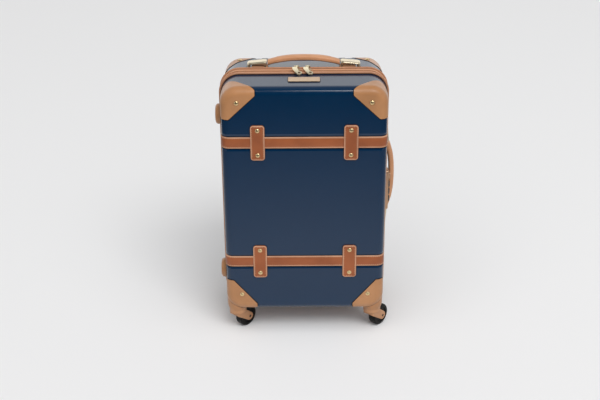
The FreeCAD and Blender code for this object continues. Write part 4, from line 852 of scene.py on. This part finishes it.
FLOOR_HALF = 16.0
CARD_LOW = 0.004
DUSK_NEAR, DUSK_FULL, DUSK_BACK = 0.5, 1.55, 0.6
ROOM_FRONT, ROOM_BACK, ROOM_HIGH, ROOM_HALF = -9.0, 7.0, 13.0, 9.0
CEILING_COVER = 0.62
WALL_Y, WALL_HALF, WALL_FULL, WALL_TOP, WALL_GLOW = 7.0, 9.0, 7.0, 12.0, 1.2
SKY_LEVEL, SKY_SEEN = 0.22, 0.8
SOFTBOX_PLACE, SOFTBOX_AIM = Vector((2.9, -6.8, 8.4)), Vector((0, 0, 0.4))
SOFTBOX_SIZE, SOFTBOX_WATTS = (5.4, 4.2), 460.0
OVERHEAD_PLACE, OVERHEAD_TILT, OVERHEAD_TURN = (0, -2, 6), math.radians(32), math.radians(2)
OVERHEAD_SPREAD, OVERHEAD_LEVEL = math.radians(80), 1.8
CAMERA_SENSOR, CAMERA_LENS = 36.0, 64.33
CAMERA_X, CAMERA_BACK, CAMERA_HIGH = -0.0094, 2.0943, 1.2537
CAMERA_TILT, CAMERA_ROLL, CAMERA_TURN = math.radians(65), math.radians(0.31), math.radians(-0.145)

floor_form = bmesh.new()
bmesh.ops.create_grid(floor_form, x_segments=1, y_segments=1, size=FLOOR_HALF)
floor = piece("paper_floor", floor_form)
paper = finish("paper", (0.87, 0.87, 0.875), 0.9)
paper.node_tree.nodes["Principled BSDF"].inputs["Specular IOR Level"].default_value = 0.1
floor.data.materials.append(paper)


def hang_cards(name, half_width, way, material):
    """Cards of the studio along a line of (y, z) points, seen in the gloss of the case and nowhere else."""
    form = bmesh.new()
    corners = [form.verts.new((-half_width, y, z)) for y, z in way]
    line = [form.edges.new(pair) for pair in zip(corners, corners[1:])]
    draw_straight(form, line, (2 * half_width, 0, 0))
    cards = piece(name, form)
    cards.data.materials.append(material)
    cards.visible_camera = False
    cards.visible_diffuse = False
    cards.visible_transmission = False
    cards.visible_shadow = False


def dark_card(name):
    """A black card without any gloss."""
    material = finish(name, (0.0, 0.0, 0.0), 1.0)
    material.node_tree.nodes["Principled BSDF"].inputs["Specular IOR Level"].default_value = 0.0
    return material


dusk = dark_card("dusk")
dusk_at = add_node(dusk.node_tree, "ShaderNodeTexCoord")
dusk_away = add_node(dusk.node_tree, "ShaderNodeVectorMath", {0: dusk_at.outputs["Object"]},
                     operation="LENGTH")
dusk_cover = add_node(dusk.node_tree, "ShaderNodeMapRange", {
    "Value": dusk_away.outputs["Value"], "From Min": DUSK_NEAR, "From Max": DUSK_FULL})
dusk.node_tree.links.new(dusk_cover.outputs[0], dusk.node_tree.nodes["Principled BSDF"].inputs["Alpha"])
hang_cards("dark_floor", ROOM_HALF, ((DUSK_BACK, CARD_LOW), (ROOM_FRONT, CARD_LOW)), dusk)
night = dark_card("night")
hang_cards("dark_front", ROOM_HALF,
           ((ROOM_FRONT, CARD_LOW), (ROOM_FRONT, ROOM_HIGH), (-DUSK_FULL, ROOM_HIGH)), night)
shade = dark_card("shade")
shade.node_tree.nodes["Principled BSDF"].inputs["Alpha"].default_value = CEILING_COVER
hang_cards("dim_ceiling", ROOM_HALF, ((-DUSK_FULL, ROOM_HIGH), (ROOM_BACK, ROOM_HIGH)), shade)
bright = dark_card("bright_wall")
bright_at = add_node(bright.node_tree, "ShaderNodeTexCoord")
bright_split = add_node(bright.node_tree, "ShaderNodeSeparateXYZ", {0: bright_at.outputs["Object"]})
bright_level = add_node(bright.node_tree, "ShaderNodeMapRange", {
    "Value": bright_split.outputs["Z"], "From Min": WALL_FULL, "From Max": WALL_TOP,
    "To Min": 1.0, "To Max": 0.0})
bright_shader = bright.node_tree.nodes["Principled BSDF"]
bright.node_tree.links.new(bright_level.outputs[0], bright_shader.inputs["Emission Color"])
bright.node_tree.links.new(bright_level.outputs[0], bright_shader.inputs["Alpha"])
bright_shader.inputs["Emission Strength"].default_value = WALL_GLOW
hang_cards("bright_wall", WALL_HALF, ((WALL_Y, CARD_LOW), (WALL_Y, WALL_TOP)), bright)

world = bpy.data.worlds.new("studio")
bpy.context.scene.world = world
world.use_nodes = True
sky = world.node_tree.nodes["Background"]
sky.inputs["Color"].default_value = (1.0, 1.0, 1.0, 1.0)
sky_path = add_node(world.node_tree, "ShaderNodeLightPath")
sky_mirrored = add_node(world.node_tree, "ShaderNodeMath", {
    0: sky_path.outputs["Is Glossy Ray"], 1: sky_path.outputs["Is Transmission Ray"]}, operation="MAXIMUM")
sky_seen = add_node(world.node_tree, "ShaderNodeMath", {
    0: sky_path.outputs["Is Camera Ray"], 1: sky_mirrored.outputs[0]}, operation="MAXIMUM")
sky_level = add_node(world.node_tree, "ShaderNodeMapRange", {
    "Value": sky_seen.outputs[0], "To Min": SKY_LEVEL, "To Max": SKY_SEEN})
world.node_tree.links.new(sky_level.outputs[0], sky.inputs["Strength"])

softbox_data = bpy.data.lights.new("softbox", "AREA")
softbox_data.shape = "RECTANGLE"
softbox_data.size, softbox_data.size_y = SOFTBOX_SIZE
softbox_data.energy = SOFTBOX_WATTS
softbox = bpy.data.objects.new("softbox", softbox_data)
softbox.location = SOFTBOX_PLACE
softbox.rotation_euler = (SOFTBOX_AIM - SOFTBOX_PLACE).to_track_quat("-Z", "Y").to_euler()
bpy.context.scene.collection.objects.link(softbox)
overhead_data = bpy.data.lights.new("overhead", "SUN")
overhead_data.angle = OVERHEAD_SPREAD
overhead_data.energy = OVERHEAD_LEVEL
overhead = bpy.data.objects.new("overhead", overhead_data)
overhead.location = OVERHEAD_PLACE
overhead.rotation_euler = (OVERHEAD_TILT, 0, OVERHEAD_TURN)
overhead.visible_glossy = False
bpy.context.scene.collection.objects.link(overhead)

camera_data = bpy.data.cameras.new("camera")
camera_data.sensor_width = CAMERA_SENSOR
camera_data.lens = CAMERA_LENS
camera = bpy.data.objects.new("camera", camera_data)
camera.location = (CAMERA_X, SPLIT_Y - CAMERA_BACK, CAMERA_HIGH)
camera.rotation_euler = (CAMERA_TILT, CAMERA_ROLL, CAMERA_TURN)
bpy.context.scene.collection.objects.link(camera)
bpy.context.scene.camera = camera
bpy.context.scene.view_settings.view_transform = "Standard"
